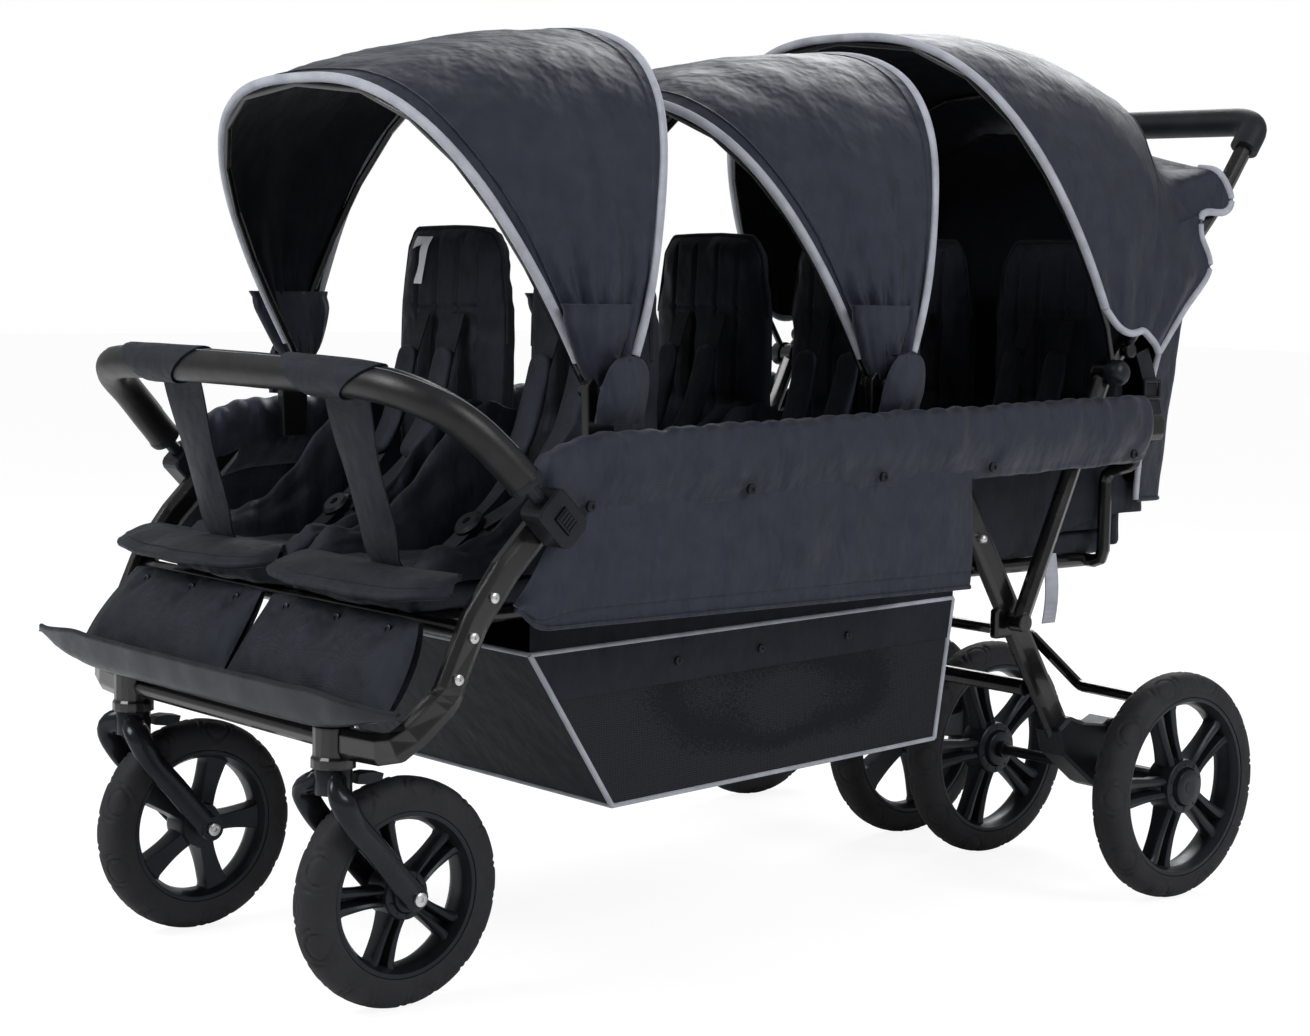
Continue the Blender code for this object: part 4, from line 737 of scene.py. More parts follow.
    @staticmethod
    def join(name: str, pieces: Sequence[Piece]) -> Piece:
        """Join pieces of one finish into one.

        Args:
            name: name of the result.
            pieces: the pieces, which are used up.

        Returns:
            The joined piece.
        """
        Bench.pick(pieces[0])
        for piece in pieces[1:]:
            piece.select_set(True)
        bpy.ops.object.join()
        made = bpy.context.object
        made.name = made.data.name = name
        return made

    @staticmethod
    def copied(piece: Piece, name: str, change: Matrix) -> Piece:
        """Copy a piece with its own mesh to another place.

        Args:
            piece: the piece to copy.
            name: name of the copy.
            change: how the copy's points move; a mirroring one turns the faces round again.

        Returns:
            The copy.
        """
        Bench.pick(piece)
        bpy.ops.object.duplicate()
        made = bpy.context.object
        made.name = made.data.name = name
        made.data.transform(change)
        if change.determinant() < 0:
            made.data.flip_normals()
        return made

    @staticmethod
    def button(name: str, place: Vector, facing: Vector, radius: float, height: float,
               dish: float = 0.35) -> Piece:
        """Turn a domed or dished round head, such as a snap, rivet or bolt.

        Args:
            name: name of the piece.
            place: middle of its seat.
            facing: direction that it faces.
            radius: its radius.
            height: how far it stands out.
            dish: share of the radius that is sunk in the middle, or 0 for a plain dome.

        Returns:
            The new piece.
        """
        Bench.clear()
        bpy.ops.mesh.primitive_cylinder_add(vertices=20, radius=radius, depth=height, end_fill_type="NGON")
        piece = bpy.context.object
        piece.name = piece.data.name = name
        piece.data.transform(Matrix.Translation((0, 0, height / 2)))
        bpy.ops.object.mode_set(mode="EDIT")
        bpy.ops.mesh.select_mode(type="FACE")
        bpy.ops.mesh.select_all(action="DESELECT")
        bpy.ops.object.mode_set(mode="OBJECT")
        for face in piece.data.polygons:
            face.select = face.normal.z > 0.9
        bpy.ops.object.mode_set(mode="EDIT")
        bpy.ops.mesh.inset(thickness=radius * 0.22, depth=height * 0.35)
        if dish:
            bpy.ops.mesh.inset(thickness=radius * (0.72 - dish), depth=0.0)
            bpy.ops.mesh.inset(thickness=radius * 0.08, depth=-height * 0.45)
        else:
            bpy.ops.mesh.inset(thickness=radius * 0.35, depth=height * 0.2)
        bpy.ops.object.mode_set(mode="OBJECT")
        turn = facing.to_track_quat("Z", "Y").to_matrix().to_4x4()
        piece.data.transform(Matrix.Translation(place) @ turn)
        return Bench.smooth(piece, 40.0)


def cut_size(surface: Shape, steps: int = 40) -> tuple[float, float]:
    """Return the flat size that a cloth was cut to: its longest line each way over the surface.

    Args:
        surface: place of the cloth's point at two shares.
        steps: number of steps along each line.

    Returns:
        Width and length in metres.
    """
    sizes = []
    for across in (False, True):
        longest = 0.0
        for j in (0.0, 0.25, 0.5, 0.75, 1.0):
            line = [surface(k / steps, j) if across else surface(j, k / steps) for k in range(steps + 1)]
            longest = max(longest, sum((b - a).length for a, b in zip(line, line[1:])))
        sizes.append(longest)
    return sizes[0], sizes[1]


def cloth_area(piece: Piece, flat: tuple[float, float]) -> float:
    """Return half of a thin sheet's skin, which is its cut area, within what its flat size allows.

    Args:
        piece: the finished sheet.
        flat: width and length that it was cut to.

    Returns:
        The area in square metres.
    """
    skin = sum(face.area for face in piece.data.polygons) / 2
    return min(max(skin, 0.3 * flat[0] * flat[1]), flat[0] * flat[1])


@dataclass
class Bow:
    """One hoop of a canopy or of the hood, as the frame has it."""

    half_width: float
    height: float
    tilt: float
    pivot: tuple[float, float]
    roundness: float = 2.75

    def at(self, share: float, over: float = 0.0) -> Vector:
        """Return the place on the hoop at a share of its arc.

        Args:
            share: 0 at the left foot, 1 at the right foot.
            over: how far outside the tube's centre line.

        Returns:
            The point.
        """
        turn = pi * share
        across = copysign(abs(cos(turn)) ** (2 / self.roundness), cos(turn))
        up = max(sin(turn), 0.0) ** (2 / self.roundness)
        lean = radians(self.tilt)
        high = (self.height + over) * up
        return Vector(((self.half_width + over) * across, self.pivot[0] - high * sin(lean),
                       self.pivot[1] + high * cos(lean)))


def even_share(low: float, share: float) -> float:
    """Return a share of a hoop's arc, with steps closer together near both feet."""
    return low + (1 - 2 * low) * (1 - cos(pi * share)) / 2


@dataclass
class Canopy:
    """One sun canopy: its cloth over two hoops, grey edge bindings, gathered feet and button flaps."""

    number: int
    pivot: tuple[float, float]
    front: Bow = field(init=False)
    rear: Bow = field(init=False)
    over: float = 0.0066
    cloth: float = 0.0022

    def __post_init__(self) -> None:
        """Set the two hoops on the canopy's pivot."""
        self.front = Bow(0.283, 0.382, 30.0, self.pivot)
        self.rear = Bow(0.3185, 0.432, -21.0, self.pivot)

    def surface(self, u: float, v: float) -> Vector:
        """Return a point of the cloth.

        Args:
            u: share across, from the left foot to the right foot.
            v: share from the front hoop to the rear hoop.

        Returns:
            The point, with sag, gathers and creases.
        """
        share = even_share(0.012, u)
        a = self.front.at(share, self.over)
        b = self.rear.at(share, self.over)
        point = a.lerp(b, v)
        middle = Vector((0.0, *self.pivot))
        out = point - middle
        full = (a - middle).length * (1 - v) + (b - middle).length * v
        top = sin(pi * share)
        span = sin(pi * v)
        lift = (full - out.length) * 0.75 - 0.012 * span * top
        foot = exp(-((top / 0.30) ** 2))
        edge = min(1.0, v / 0.10, (1 - v) / 0.10)
        ripple = sin(v * 31.0 + 2.0 * folds(point, 7.0, self.number))
        gather = 0.0042 * ripple * foot * (0.3 + 0.7 * edge)
        tension = 0.0030 * sin(v * 13.0 + share * 9.0) * exp(-(((top - 0.45) / 0.25) ** 2))
        crease = 0.0052 * folds(point, 6.5, self.number) + 0.0024 * folds(point, 17.0, self.number + 4)
        fine = 0.0011 * folds(Vector((point.x, point.y * 2.2, point.z)), 42.0, 2.0)
        lift += gather + (tension + crease + fine) * edge
        point = point + out.normalized() * lift
        point.x += copysign(0.010, point.x) * span * (1 - top) ** 3
        point.y += 0.020 * foot * smooth_step(0.5, 1.0, v)
        return point

    def seam(self, name: str, v: float, raise_by: float = 0.0018) -> Piece:
        """Return a sewn double-stitched line along the cloth at share v.

        Args:
            name: name of the piece.
            v: share from the front hoop to the rear hoop.
            raise_by: how far it stands on the cloth.

        Returns:
            The sewn line.
        """
        path = []
        for k in range(97):
            u = 0.01 + 0.98 * k / 96
            here = self.surface(u, v)
            path.append(here + (here - Vector((0.0, *self.pivot))).normalized() * raise_by)
        return Finish.ANTHRACITE.on(Bench.sweep(name, path, 0.0010, 6, 2.2))

    def binding(self, name: str, bow: Bow, radius: float) -> Piece:
        """Return the light edge binding that wraps a hoop.

        Args:
            name: name of the piece.
            bow: the hoop.
            radius: radius of the binding.

        Returns:
            The binding.
        """
        v = 0.0 if bow is self.front else 1.0
        path = [self.surface(0.012 + 0.976 * k / 96, v) for k in range(97)]
        return Finish.PIPING.on(Bench.sweep(name, path, radius, 10))

    def pocket(self, side: int) -> Piece:
        """Return the gathered sleeve round the two hoops' feet on one side.

        Args:
            side: 1 for left, -1 for right.

        Returns:
            The sleeve.
        """

        def shape(u: float, v: float) -> Vector:
            """Return a point of the left or right sleeve."""
            turn = 2 * pi * u
            height = self.pivot[1] - 0.004 + 0.098 * v
            lift = height - self.pivot[1]
            front = -lift * tan(radians(30)) * 0.92 - 0.012
            back = lift * tan(radians(21)) * 0.9 + 0.026 + 0.006 * sin(v * 3.0)
            ruffle = 1 + 0.16 * sin(turn * 9 + v * 2.5) * (1 - 0.55 * v) + 0.05 * sin(turn * 17)
            half = (back - front) / 2
            squeeze = 1 - 0.20 * ridge(v, 0.10, 0.12) - 0.10 * ridge(v, 0.95, 0.10)
            x = 0.3010 + 0.012 * v + (0.0135 * sin(turn)) * ruffle * squeeze
            y = self.pivot[0] + (front + back) / 2 + half * cos(turn) * squeeze * (1 + 0.03 * ruffle)
            return Vector((side * x, y, height))

        name = f"canopy_{self.number}_pocket_{side_name(side)}"
        made = Bench.sheet(name, 72, 14, shape, 0.0016)
        if side > 0:
            made.data.flip_normals()
        return Finish.ANTHRACITE.on(made)

    def flap(self, side: int) -> Piece:
        """Return the button flap that ties the canopy's foot to the padded rail.

        Args:
            side: 1 for left, -1 for right.

        Returns:
            The flap.
        """

        def shape(u: float, v: float) -> Vector:
            """Return a point of the flap, rounded at its top."""
            across = (u - 0.5) * 2
            reach = (1 - v ** 3.0) ** (1 / 2.6) if v < 1 else 0.0
            half = 0.0345 * (0.92 + 0.12 * v) * reach
            dome = sin(pi * u) ** 0.7 * sin(pi * min(1.0, v * 0.94 + 0.06)) ** 0.8
            where = Vector((0, across * 0.05, v * 0.08))
            x = 0.3235 + 0.0105 * v + 0.0130 * dome + 0.0016 * folds(where, 40.0, self.number)
            y = self.pivot[0] + 0.012 + half * across + 0.006 * v
            return Vector((side * x, y, self.pivot[1] - 0.034 + 0.071 * v - 0.007 * dome * v))

        name = f"canopy_{self.number}_flap_{side_name(side)}"
        made = Bench.sheet(name, 22, 22, shape, 0.0060)
        if side < 0:
            made.data.flip_normals()
        return Finish.ANTHRACITE.on(made)

    def build(self) -> None:
        """Build the canopy and tie its seams, bindings and flaps to the frame's bodies."""
        stem = f"canopy_{self.number}"
        front_body = stem + "_front"
        cover = Bench.sheet(stem + "_cloth", 150, 34, self.surface, self.cloth)
        Bench.outward(cover)
        Bench.smooth(cover, 60.0)
        middle = Vector((0.0, *self.pivot))
        Bench.lined(cover, lambda place: place - middle)
        flat = cut_size(self.surface)
        start, end = (0.0, self.pivot[0] + 0.14, self.pivot[1]), (0.0, self.pivot[0] - 0.15, self.pivot[1])
        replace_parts(cover, stem + "_cover")
        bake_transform(cover)
        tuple(start)
        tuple(end)
        for v in (0.075, 0.93):
            line = self.seam(f"{stem}_seam_{round(v * 100)}", v)
            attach(line, front_body if v < 0.5 else "frame")
        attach(self.binding(stem + "_front_binding", self.front, 0.0058), front_body)
        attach(self.binding(stem + "_rear_binding", self.rear, 0.0056), "frame")
        for side in (1, -1):
            y, z = self.pivot
            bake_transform(self.pocket(side))
            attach(self.flap(side), "frame")
        LOG.info("canopy %d made", self.number)


def along(points: Knots, share: float) -> Vector:
    """Return a point on a smooth line through the given points.

    Args:
        points: rows of a knot (share from 0 to 1) and a place.
        share: where on the line.

    Returns:
        The place at that share.
    """
    last = len(points) - 1
    k = max(i for i in range(last) if points[i][0] <= share or i == 0)
    near = [Vector(points[min(max(i, 0), last)][1:]) for i in (k - 1, k, k + 1, k + 2)]
    t = (share - points[k][0]) / (points[k + 1][0] - points[k][0])
    a, b, c, d = near
    square, cube = 2 * a - 5 * b + 4 * c - d, 3 * b - a - 3 * c + d
    return 0.5 * ((2 * b) + (c - a) * t + square * t * t + cube * t ** 3)


def heading(points: Knots, share: float) -> Vector:
    """Return the direction of the line through the given points at a share."""
    return (along(points, min(1, share + 0.01)) - along(points, max(0, share - 0.01))).normalized()


def round_bar(ahead: Vector, turn: float) -> Vector:
    """Return the direction out of a bar at an angle from its top.

    Args:
        ahead: direction of the bar.
        turn: angle from the top, in radians.

    Returns:
        A unit vector across the bar.
    """
    up = (Vector((0, 0, 1)) - ahead * ahead.z).normalized()
    return up * cos(turn) + up.cross(ahead) * sin(turn)


@dataclass
class Hood:
    """The rear hood: its cloth over two hoops, deep side walls with a bound hem, and the panel behind."""

    front: Bow = field(default_factory=lambda: Bow(0.322, 0.472, 26.0, (0.440, 0.680)))
    back: Bow = field(default_factory=lambda: Bow(0.318, 0.372, -18.0, (0.468, 0.7085)))
    cloth: float = 0.0022
    hem: tuple[tuple[float, ...], ...] = (
        (0.00, 0.318, 0.522, 0.706), (0.07, 0.316, 0.573, 0.761), (0.13, 0.3145, 0.626, 0.816),
        (0.165, 0.314, 0.606, 0.862), (0.19, 0.314, 0.610, 0.890), (0.215, 0.3145, 0.655, 0.893),
        (0.24, 0.314, 0.668, 0.912), (0.27, 0.306, 0.648, 0.946), (0.31, 0.262, 0.646, 0.954),
        (0.37, 0.180, 0.650, 0.972), (0.43, 0.095, 0.646, 1.004), (0.50, 0.0, 0.642, 1.022),
    )

    def surface(self, u: float, v: float) -> Vector:
        """Return a point of the hood's cloth.

        Args:
            u: share across, from the left hem to the right hem.
            v: share from the front hoop past the back hoop to the rear edge.

        Returns:
            The point.
        """
        side = 1.0 if u <= 0.5 else -1.0
        h = min(u, 1 - u)
        share = 0.034 + 0.466 * (1 - cos(pi * h)) if h < 0.5 else 0.5
        a = self.front.at(share, 0.0066)
        b = self.back.at(max(share - 0.020 * (1 - 2 * h), 0.004), 0.0066)
        bottom = exp(-((h / 0.07) ** 2))
        b.z -= 0.010 * bottom
        c = along(self.hem, h)
        middle = Vector((0.0, 0.455, 0.695))
        if v < 0.55:
            t = v / 0.55
            point = a.lerp(b, t)
            full = (a - middle).length * (1 - t) + (b - middle).length * t
            out = (point - middle).normalized()
            span = sin(pi * t)
            point += out * (full - (point - middle).length) * 0.72
            point.z -= 0.016 * span * bottom
        else:
            t = (v - 0.55) / 0.45
            point = b.lerp(c, t)
            out = (point - middle).normalized()
            span = sin(pi * t)
            valley = ridge(h, 0.30, 0.10)
            point -= out * 0.022 * span * valley
            point.x += 0.004 * span * (1 - smooth_step(0.2, 0.3, h))
        edge = min(1.0, v / 0.06, (1 - v) / 0.08, h / 0.02 + 0.2)
        crease = 0.0050 * folds(point, 6.0, 5.0) + 0.0030 * folds(point, 15.0, 8.0)
        fan = 0.0034 * sin(24.0 * v + 6.0 * h) * exp(-((h - 0.08) / 0.09) ** 2)
        fine = 0.0011 * folds(Vector((point.x, point.y * 2.0, point.z)), 40.0, 2.0)
        seam = -0.0022 * ridge(v, 0.55, 0.016)
        point += out * ((crease + fan + fine) * edge + seam)
        point.x *= side
        return point

    @staticmethod
    def binding(name: str, line: Callable[[float], Vector], radius: float, steps: int) -> Piece:
        """Return a light edge binding along a line given by its share.

        Args:
            name: name of the piece.
            line: place at a share.
            radius: radius of the binding.
            steps: number of steps along it.

        Returns:
            The binding.
        """
        path = [line(k / steps) for k in range(steps + 1)]
        return Finish.PIPING.on(Bench.sweep(name, path, radius, 10))

    def panel(self, u: float, v: float) -> Vector:
        """Return a point of the rear panel: its two side wings and its back, from the bottom hem to the top.

        Args:
            u: share from the left wing round to the right.
            v: share from the bottom hem to the top.

        Returns:
            The point.
        """
        levels = ((0.0, 0.272, 0.594, 0.507), (0.17, 0.277, 0.603, 0.600), (0.36, 0.279, 0.616, 0.700),
                  (0.52, 0.279, 0.628, 0.780), (0.66, 0.278, 0.636, 0.855), (0.80, 0.272, 0.640, 0.915),
                  (0.91, 0.215, 0.638, 0.962), (1.0, 0.092, 0.630, 1.004))
        low = along(levels, v)
        wing = 0.042 * (1 - smooth_step(0.62, 0.80, v)) * (1 + 0.25 * sin(v * 9.0))
        path = wing + low.x
        reach = abs(u - 0.5) * 2 * path
        if reach <= low.x - 0.014:
            x, y = reach, low.y + 0.010 * cos(reach / low.x * pi / 2)
        elif reach <= low.x + 0.006:
            t = (reach - low.x + 0.014) / 0.020
            x = low.x - 0.014 + 0.014 * sin(t * pi / 2)
            y = low.y - 0.014 * (1 - cos(t * pi / 2))
        else:
            x, y = low.x, low.y - 0.014 - (reach - low.x - 0.006)
        y += 0.027 * smooth_step(0.274, 0.235, x) * smooth_step(0.08, 0.50, v) * smooth_step(1.0, 0.82, v)
        wave = 0.0045 * sin(u * 26 + v * 2) * (1 - v) ** 1.5 + 0.004 * folds(Vector((x, v, u)), 9.0, 3.0)
        return Vector((copysign(x, 0.5 - u), y + wave * min(1.0, reach / 0.03), low.z))

    @staticmethod
    def hang(piece: Piece) -> None:
        """Hang a piece of the rear panel on the handle, with a mesh of its own.

        Args:
            piece: the piece to hang.
        """
        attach(piece, "handle")
        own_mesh(piece)

    def build(self) -> None:
        """Build the hood and the rear panel."""
        cover = Bench.sheet("hood_cloth", 150, 44, self.surface, self.cloth)
        Bench.outward(cover)
        Bench.smooth(cover, 60.0)
        middle = Vector((0.0, 0.47, 0.70))
        Bench.lined(cover, lambda place: place - middle)
        flat = cut_size(self.surface)
        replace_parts(cover, "hood_cover")
        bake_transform(cover)
        front = self.binding("hood_front_binding", lambda s: self.surface(0.004 + 0.992 * s, 0.0),
                             0.0056, 130)
        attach(front, "hood_front")
        for label, turn in (("left", lambda s: s), ("right", lambda s: 1 - s)):
            hem = self.binding("hood_hem_" + label, lambda s, t=turn: self.surface(t(0.0), s), 0.0048, 26)
            edge = self.binding("hood_rear_edge_" + label, lambda s, t=turn: self.surface(t(0.30 * s), 1.0),
                                0.0048, 60)
            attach(hem, "handle")
            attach(edge, "handle")
        ridge_line = self.binding("hood_back_seam", lambda s: self.surface(0.02 + 0.96 * s, 0.55) +
                                  Vector((0, 0.001, 0.0012)), 0.0015, 120)
        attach(Finish.ANTHRACITE.on(ridge_line), "handle")
        back = Bench.sheet("rear_panel_cloth", 110, 48, self.panel, self.cloth)
        Bench.outward(back)
        Bench.lined(back, lambda place: Vector((place.x, place.y - 0.55, 0.0)))
        flat = cut_size(self.panel)
        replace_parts(back, "rear_panel")
        self.hang(back)
        for label, u in (("left", 0.0), ("right", 1.0)):
            trim = self.binding("rear_panel_hem_" + label, lambda s, u=u: self.panel(u, 0.68 * s), 0.0042, 50)
            self.hang(trim)
        bottom = self.binding("rear_panel_bottom_hem", lambda s: self.panel(s, 0.0), 0.0035, 90)
        self.hang(Finish.ANTHRACITE.on(bottom))
        LOG.info("hood and rear panel made")


@dataclass
class SideCover:
    """One side's padded roll over the top rail, with its snaps and the cloth panel that hangs below it."""

    side: int
    middle_x: float = 0.348
    half: tuple[float, float] = (0.0200, 0.0440)
    start: float = -0.538
    end: float = 0.463
    snaps: tuple[float, ...] = (-0.476, -0.245, -0.034, 0.155, 0.423)

    @staticmethod
    def rail(y: float) -> float:
        """Return the height of the roll's middle at y; it dips over the frame's bend at the front.

        Args:
            y: place along the side.

        Returns:
            The height.
        """
        level = 0.586 + (y + 0.475) / 0.975 * 0.024
        return level - 0.020 * (1 - smooth_step(-0.545, -0.455, y))

    def roll(self, u: float, v: float) -> Vector:
        """Return a point of the roll.

        Args:
            u: share round its section.
            v: share from its front end to its rear end.

        Returns:
            The point on the left side's roll.
        """
        turn = 2 * pi * u
        c, s = cos(turn), sin(turn)
        y = self.start + (self.end - self.start) * v
        cap = sqrt(max(0.0, 1 - (1 - min(1.0, (v + 0.001) / 0.022, (1 - v + 0.001) / 0.018)) ** 2))
        out = copysign(abs(c) ** 0.75, c)
        up = copysign(abs(s) ** 0.80, s)
        thin = 1.0 - 0.42 * smooth_step(0.1, -0.9, up)
        x = self.middle_x + self.half[0] * out * thin * (0.35 + 0.65 * cap)
        z = self.rail(y) + self.half[1] * up * (0.45 + 0.55 * cap)
        where = Vector((x * 1.2, y, z * 0.5))
        swell = 0.0024 * folds(where, 16.0, 2.0 + self.side) + 0.0020 * folds(where, 38.0, 5.0)
        rib = 0.0013 * sin(y * 210 + 3 * folds(where, 9.0)) * ridge(up, 0.95, 0.5)
        pinch = 0.0
        for snap in self.snaps:
            close = hypot(y - snap, (z - self.rail(y) + 0.030) * 0.8)
            pinch -= 0.0045 * exp(-((close / 0.016) ** 2))
        hem = -0.0018 * ridge(up, -0.80, 0.05)
        grow = (swell + rib) * cap + (pinch + hem) * (1 if c > 0 else 0)
        x += grow * out
        z += grow * up * 0.8
        return Vector((min(x, 0.3715) if x > self.middle_x else max(x, 0.3288), y, z))

    def panel(self, u: float, v: float) -> Vector:
        """Return a point of the hanging panel on the left side, from front to rear and bottom to top.

        Args:
            u: share from front to rear.
            v: share from bottom to top.

        Returns:
            The point.
        """
        y = -0.570 + (0.126 + 0.570) * u
        low = 0.426 + 0.022 * ridge(u, 0.0, 0.03)
        high = self.rail(max(y, -0.5)) - 0.014
        if y < -0.470:
            high = 0.445 + 0.125 * smooth_step(-0.590, -0.470, y)
        z = low + (high - low) * v
        if y < -0.520:
            z = max(z, low)
        belly = 0.0045 * sin(pi * min(1.0, v * 1.15)) + 0.003 * (1 - v)
        where = Vector((0.0, y, z * 0.75))
        crease = 0.0046 * folds(where, 9.0, 1.0) + 0.0026 * folds(Vector((0, y * 0.6, z)), 21.0, 4.0)
        drape = 0.0022 * sin(y * 46 + 7 * v) * v
        stitched = -0.0012 * ridge(v, 0.11, 0.012)
        x = 0.3535 + belly + (crease + drape) * min(1.0, 0.25 + v * 1.6, (1 - v) * 6 + 0.1) + stitched
        return Vector((min(max(x, 0.3505), 0.3640 if v > 0.8 else 0.372), y, z))

    def build(self) -> None:
        """Build the roll, the panel, the snaps and the stitched hems."""
        label = side_name(self.side)
        roll = Bench.sheet("side_roll_" + label, 40, 230, self.roll)
        Bench.capped(roll)
        Bench.smooth(roll, 60.0)
        panel = Bench.sheet("side_panel_" + label, 130, 36, self.panel, 0.0022)
        hem_path = [self.panel(k / 80, 0.0) + Vector((0.0006, 0, 0)) for k in range(81)]
        hem = Bench.sweep("side_panel_hem_" + label, hem_path, 0.0030, 8)
        stitch = [self.panel(k / 80, 0.115) + Vector((0.0012, 0, 0)) for k in range(81)]
        thread = Bench.sweep("side_panel_stitch_" + label, stitch, 0.0006, 6)
        Bench.outward(panel)
        parts = []
        for k, y in enumerate(self.snaps):
            spot = Vector((self.middle_x + 0.0138, y, self.rail(y) - 0.030))
            parts.append(Bench.button(f"snap_{k}", spot, Vector((1, 0, 0)), 0.0062, 0.0034))
        snaps = Bench.join("side_snaps_" + label, parts)
        for piece, finish in ((roll, Finish.ANTHRACITE), (panel, Finish.ANTHRACITE), (hem, Finish.ANTHRACITE),
                              (thread, Finish.ANTHRACITE), (snaps, Finish.SMOOTH_PLASTIC)):
            finish.on(Bench.on_side(piece, self.side))
            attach(piece, "frame")
        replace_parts(roll, "side_cover_" + label)
        flat = cut_size(self.panel)
        LOG.info("side cover %s made", label)


@dataclass
class WheelKind:
    """One kind of wheel, modelled once round the X axis and copied to each place."""

    name: str
    radius: float
    half_width: float
    rim_radius: float
    hub_radius: float
    hub_half: float
    cap: float
    crescents: int

    @staticmethod
    def lathe(name: str, profile: Sequence[tuple[float, float]], steps: int) -> Piece:
        """Turn a closed profile of x and radius round the X axis.

        Args:
            name: name of the piece.
            profile: x and radius of each corner.
            steps: number of faces round.

        Returns:
            The turned piece.
        """
        last = len(profile) - 1

        def shape(u: float, v: float) -> Vector:
            """Return a point of the turned skin."""
            x, r = profile[round(v * last)]
            return Vector((x, r * cos(2 * pi * u), r * sin(2 * pi * u)))

        return Bench.smooth(Bench.outward(Bench.sheet(name, steps, last, shape)), 42.0)

    def tyre(self) -> Piece:
        """Return the tyre, with crescent grooves on both shoulders and notches across the tread.

        Returns:
            The tyre, in the middle of the frame.
        """
        w, r = self.half_width, self.radius
        seat = self.rim_radius + 0.0006
        wall = r - seat

        def section(t: float) -> tuple[float, float, float]:
            """Return x, radius and the way across the tread at a share of the section."""
            turn = pi * (t * 1.36 - 0.18)
            c, s = cos(turn), sin(turn)
            x = w * copysign(abs(c) ** 0.82, -c)
            radius = seat + wall * (0.30 + 0.70 * copysign(abs(s) ** 0.80, s))
            return x, max(radius, seat), (t - 0.5) * pi * (w + wall) * 0.62

        def shape(u: float, v: float) -> Vector:
            """Return a point of the tyre, with its grooves cut in."""
            if v > 0.999:
                v = 0.0
            x, radius, side_way = section(v)
            if radius > seat + 0.004:
                pitch = 2 * pi * r / self.crescents
                for sign in (-1, 1):
                    shift = 0.0 if sign < 0 else 0.5
                    around = ((u * self.crescents + shift) % 1.0 - 0.5) * pitch
                    gap = hypot(around, side_way - sign * (w * 0.98))
                    on_side = 1.0 if side_way * sign > -0.003 else 0.0
                    depth = 0.0017 * ridge(gap, 0.0165, 0.0017) + 0.0010 * ridge(gap, 0.0245, 0.0013)
                    radius -= depth * on_side
                    x -= sign * depth * on_side * 0.9
                notch = abs(((u * self.crescents * 2) % 1.0) - 0.5) * pitch / 2
                radius -= 0.0024 * ridge(notch, 0.0, 0.0022) * ridge(abs(side_way), w * 0.55, w * 0.30)
            angle = 2 * pi * u
            return Vector((x, radius * cos(angle), radius * sin(angle)))

        made = Bench.outward(Bench.sheet(self.name + "_tyre", 340, 38, shape))
        return Finish.TYRE.on(Bench.smooth(made, 60.0))

    def spoke(self, turn: float) -> Piece:
        """Return one spoke: two rounded ribs with a deep groove between them, flared into the rim.

        Args:
            turn: its angle round the axle.

        Returns:
            The spoke.
        """
        inner, outer = self.hub_radius * 0.80, self.rim_radius - 0.0075
        foot, head = self.hub_radius * 0.42, self.hub_radius * 0.60
        ring = ((-1.0, 0.2), (-0.92, 0.75), (-0.66, 1.0), (-0.34, 0.86), (-0.20, -0.15), (0.20, -0.15),
                (0.34, 0.86), (0.66, 1.0), (0.92, 0.75), (1.0, 0.2), (0.80, -0.9), (-0.80, -0.9), (-1.0, 0.2))

        def shape(u: float, v: float) -> Vector:
            """Return a point of the spoke, from the hub out."""
            across, up = ring[round(u * 12)]
            r = inner + (outer - inner) * v
            wide = foot + (head - foot) * smooth_step(0.0, 1.0, v) - 0.0012 * sin(pi * v)
            wide += 0.0045 * smooth_step(0.86, 1.0, v)
            high = self.hub_half * 0.86 + (self.half_width * 0.60 - self.hub_half * 0.86) * v
            high -= 0.0030 * sin(pi * v)
            if up < 0 and abs(across) < 0.5:
                up = 0.90 - 1.25 * smooth_step(0.02, 0.22, v)
            return Vector((high * up, across * wide, r))

        made = Bench.capped(Bench.sheet("spoke", 12, 16, shape))
        Bench.modify(made, "BEVEL", width=0.0008, segments=2, limit_method="ANGLE", angle_limit=0.6)
        made.data.transform(Matrix.Rotation(turn, 4, "X"))
        return made

    def rim(self) -> Piece:
        """Return the rim: a beaded barrel, five double-rib spokes and a drilled hub flange with its cap.

        Returns:
            The rim, in the middle of the frame.
        """
        w, r = self.half_width - 0.002, self.rim_radius
        half = [(w * 0.3, r - 0.0110), (w * 0.55, r - 0.0100), (w - 0.0030, r - 0.0062), (w, r - 0.0050),
                (w + 0.0006, r - 0.0025), (w, r)]
        barrel = [(-x, radius) for x, radius in reversed(half)] + half + [(0.0, r), (-w, r)]
        parts = [self.lathe("barrel", barrel, 96)]
        parts += [self.spoke(2 * pi * (k + 0.25) / 5) for k in range(5)]
        h, hub = self.hub_half, self.hub_radius
        flange = [(-h, 0.0), (-h, hub * 0.55), (-h * 0.92, hub * 0.92), (-h * 0.7, hub), (h * 0.7, hub),
                  (h * 0.90, hub * 0.97), (h * 0.98, hub * 0.90), (h, hub * 0.72), (h * 0.92, hub * 0.69),
                  (h + self.cap * 0.8, hub * 0.64), (h + self.cap, hub * 0.58), (h + self.cap, hub * 0.30),
                  (h + self.cap * 1.02, 0.0)]
        parts.append(self.lathe("hub", flange, 40))
        for k in range(10):
            turn = 2 * pi * (k + 0.5) / 10
            spot = Vector((h * 0.985, hub * 0.81 * cos(turn), hub * 0.81 * sin(turn)))
            size = hub * (0.085 if k % 2 else 0.05)
            parts.append(Bench.button("hole", spot, Vector((1, 0, 0)), size, 0.0007, 0.2))
        made = Bench.join(self.name + "_rim", parts)
        return Finish.SMOOTH_PLASTIC.on(made)


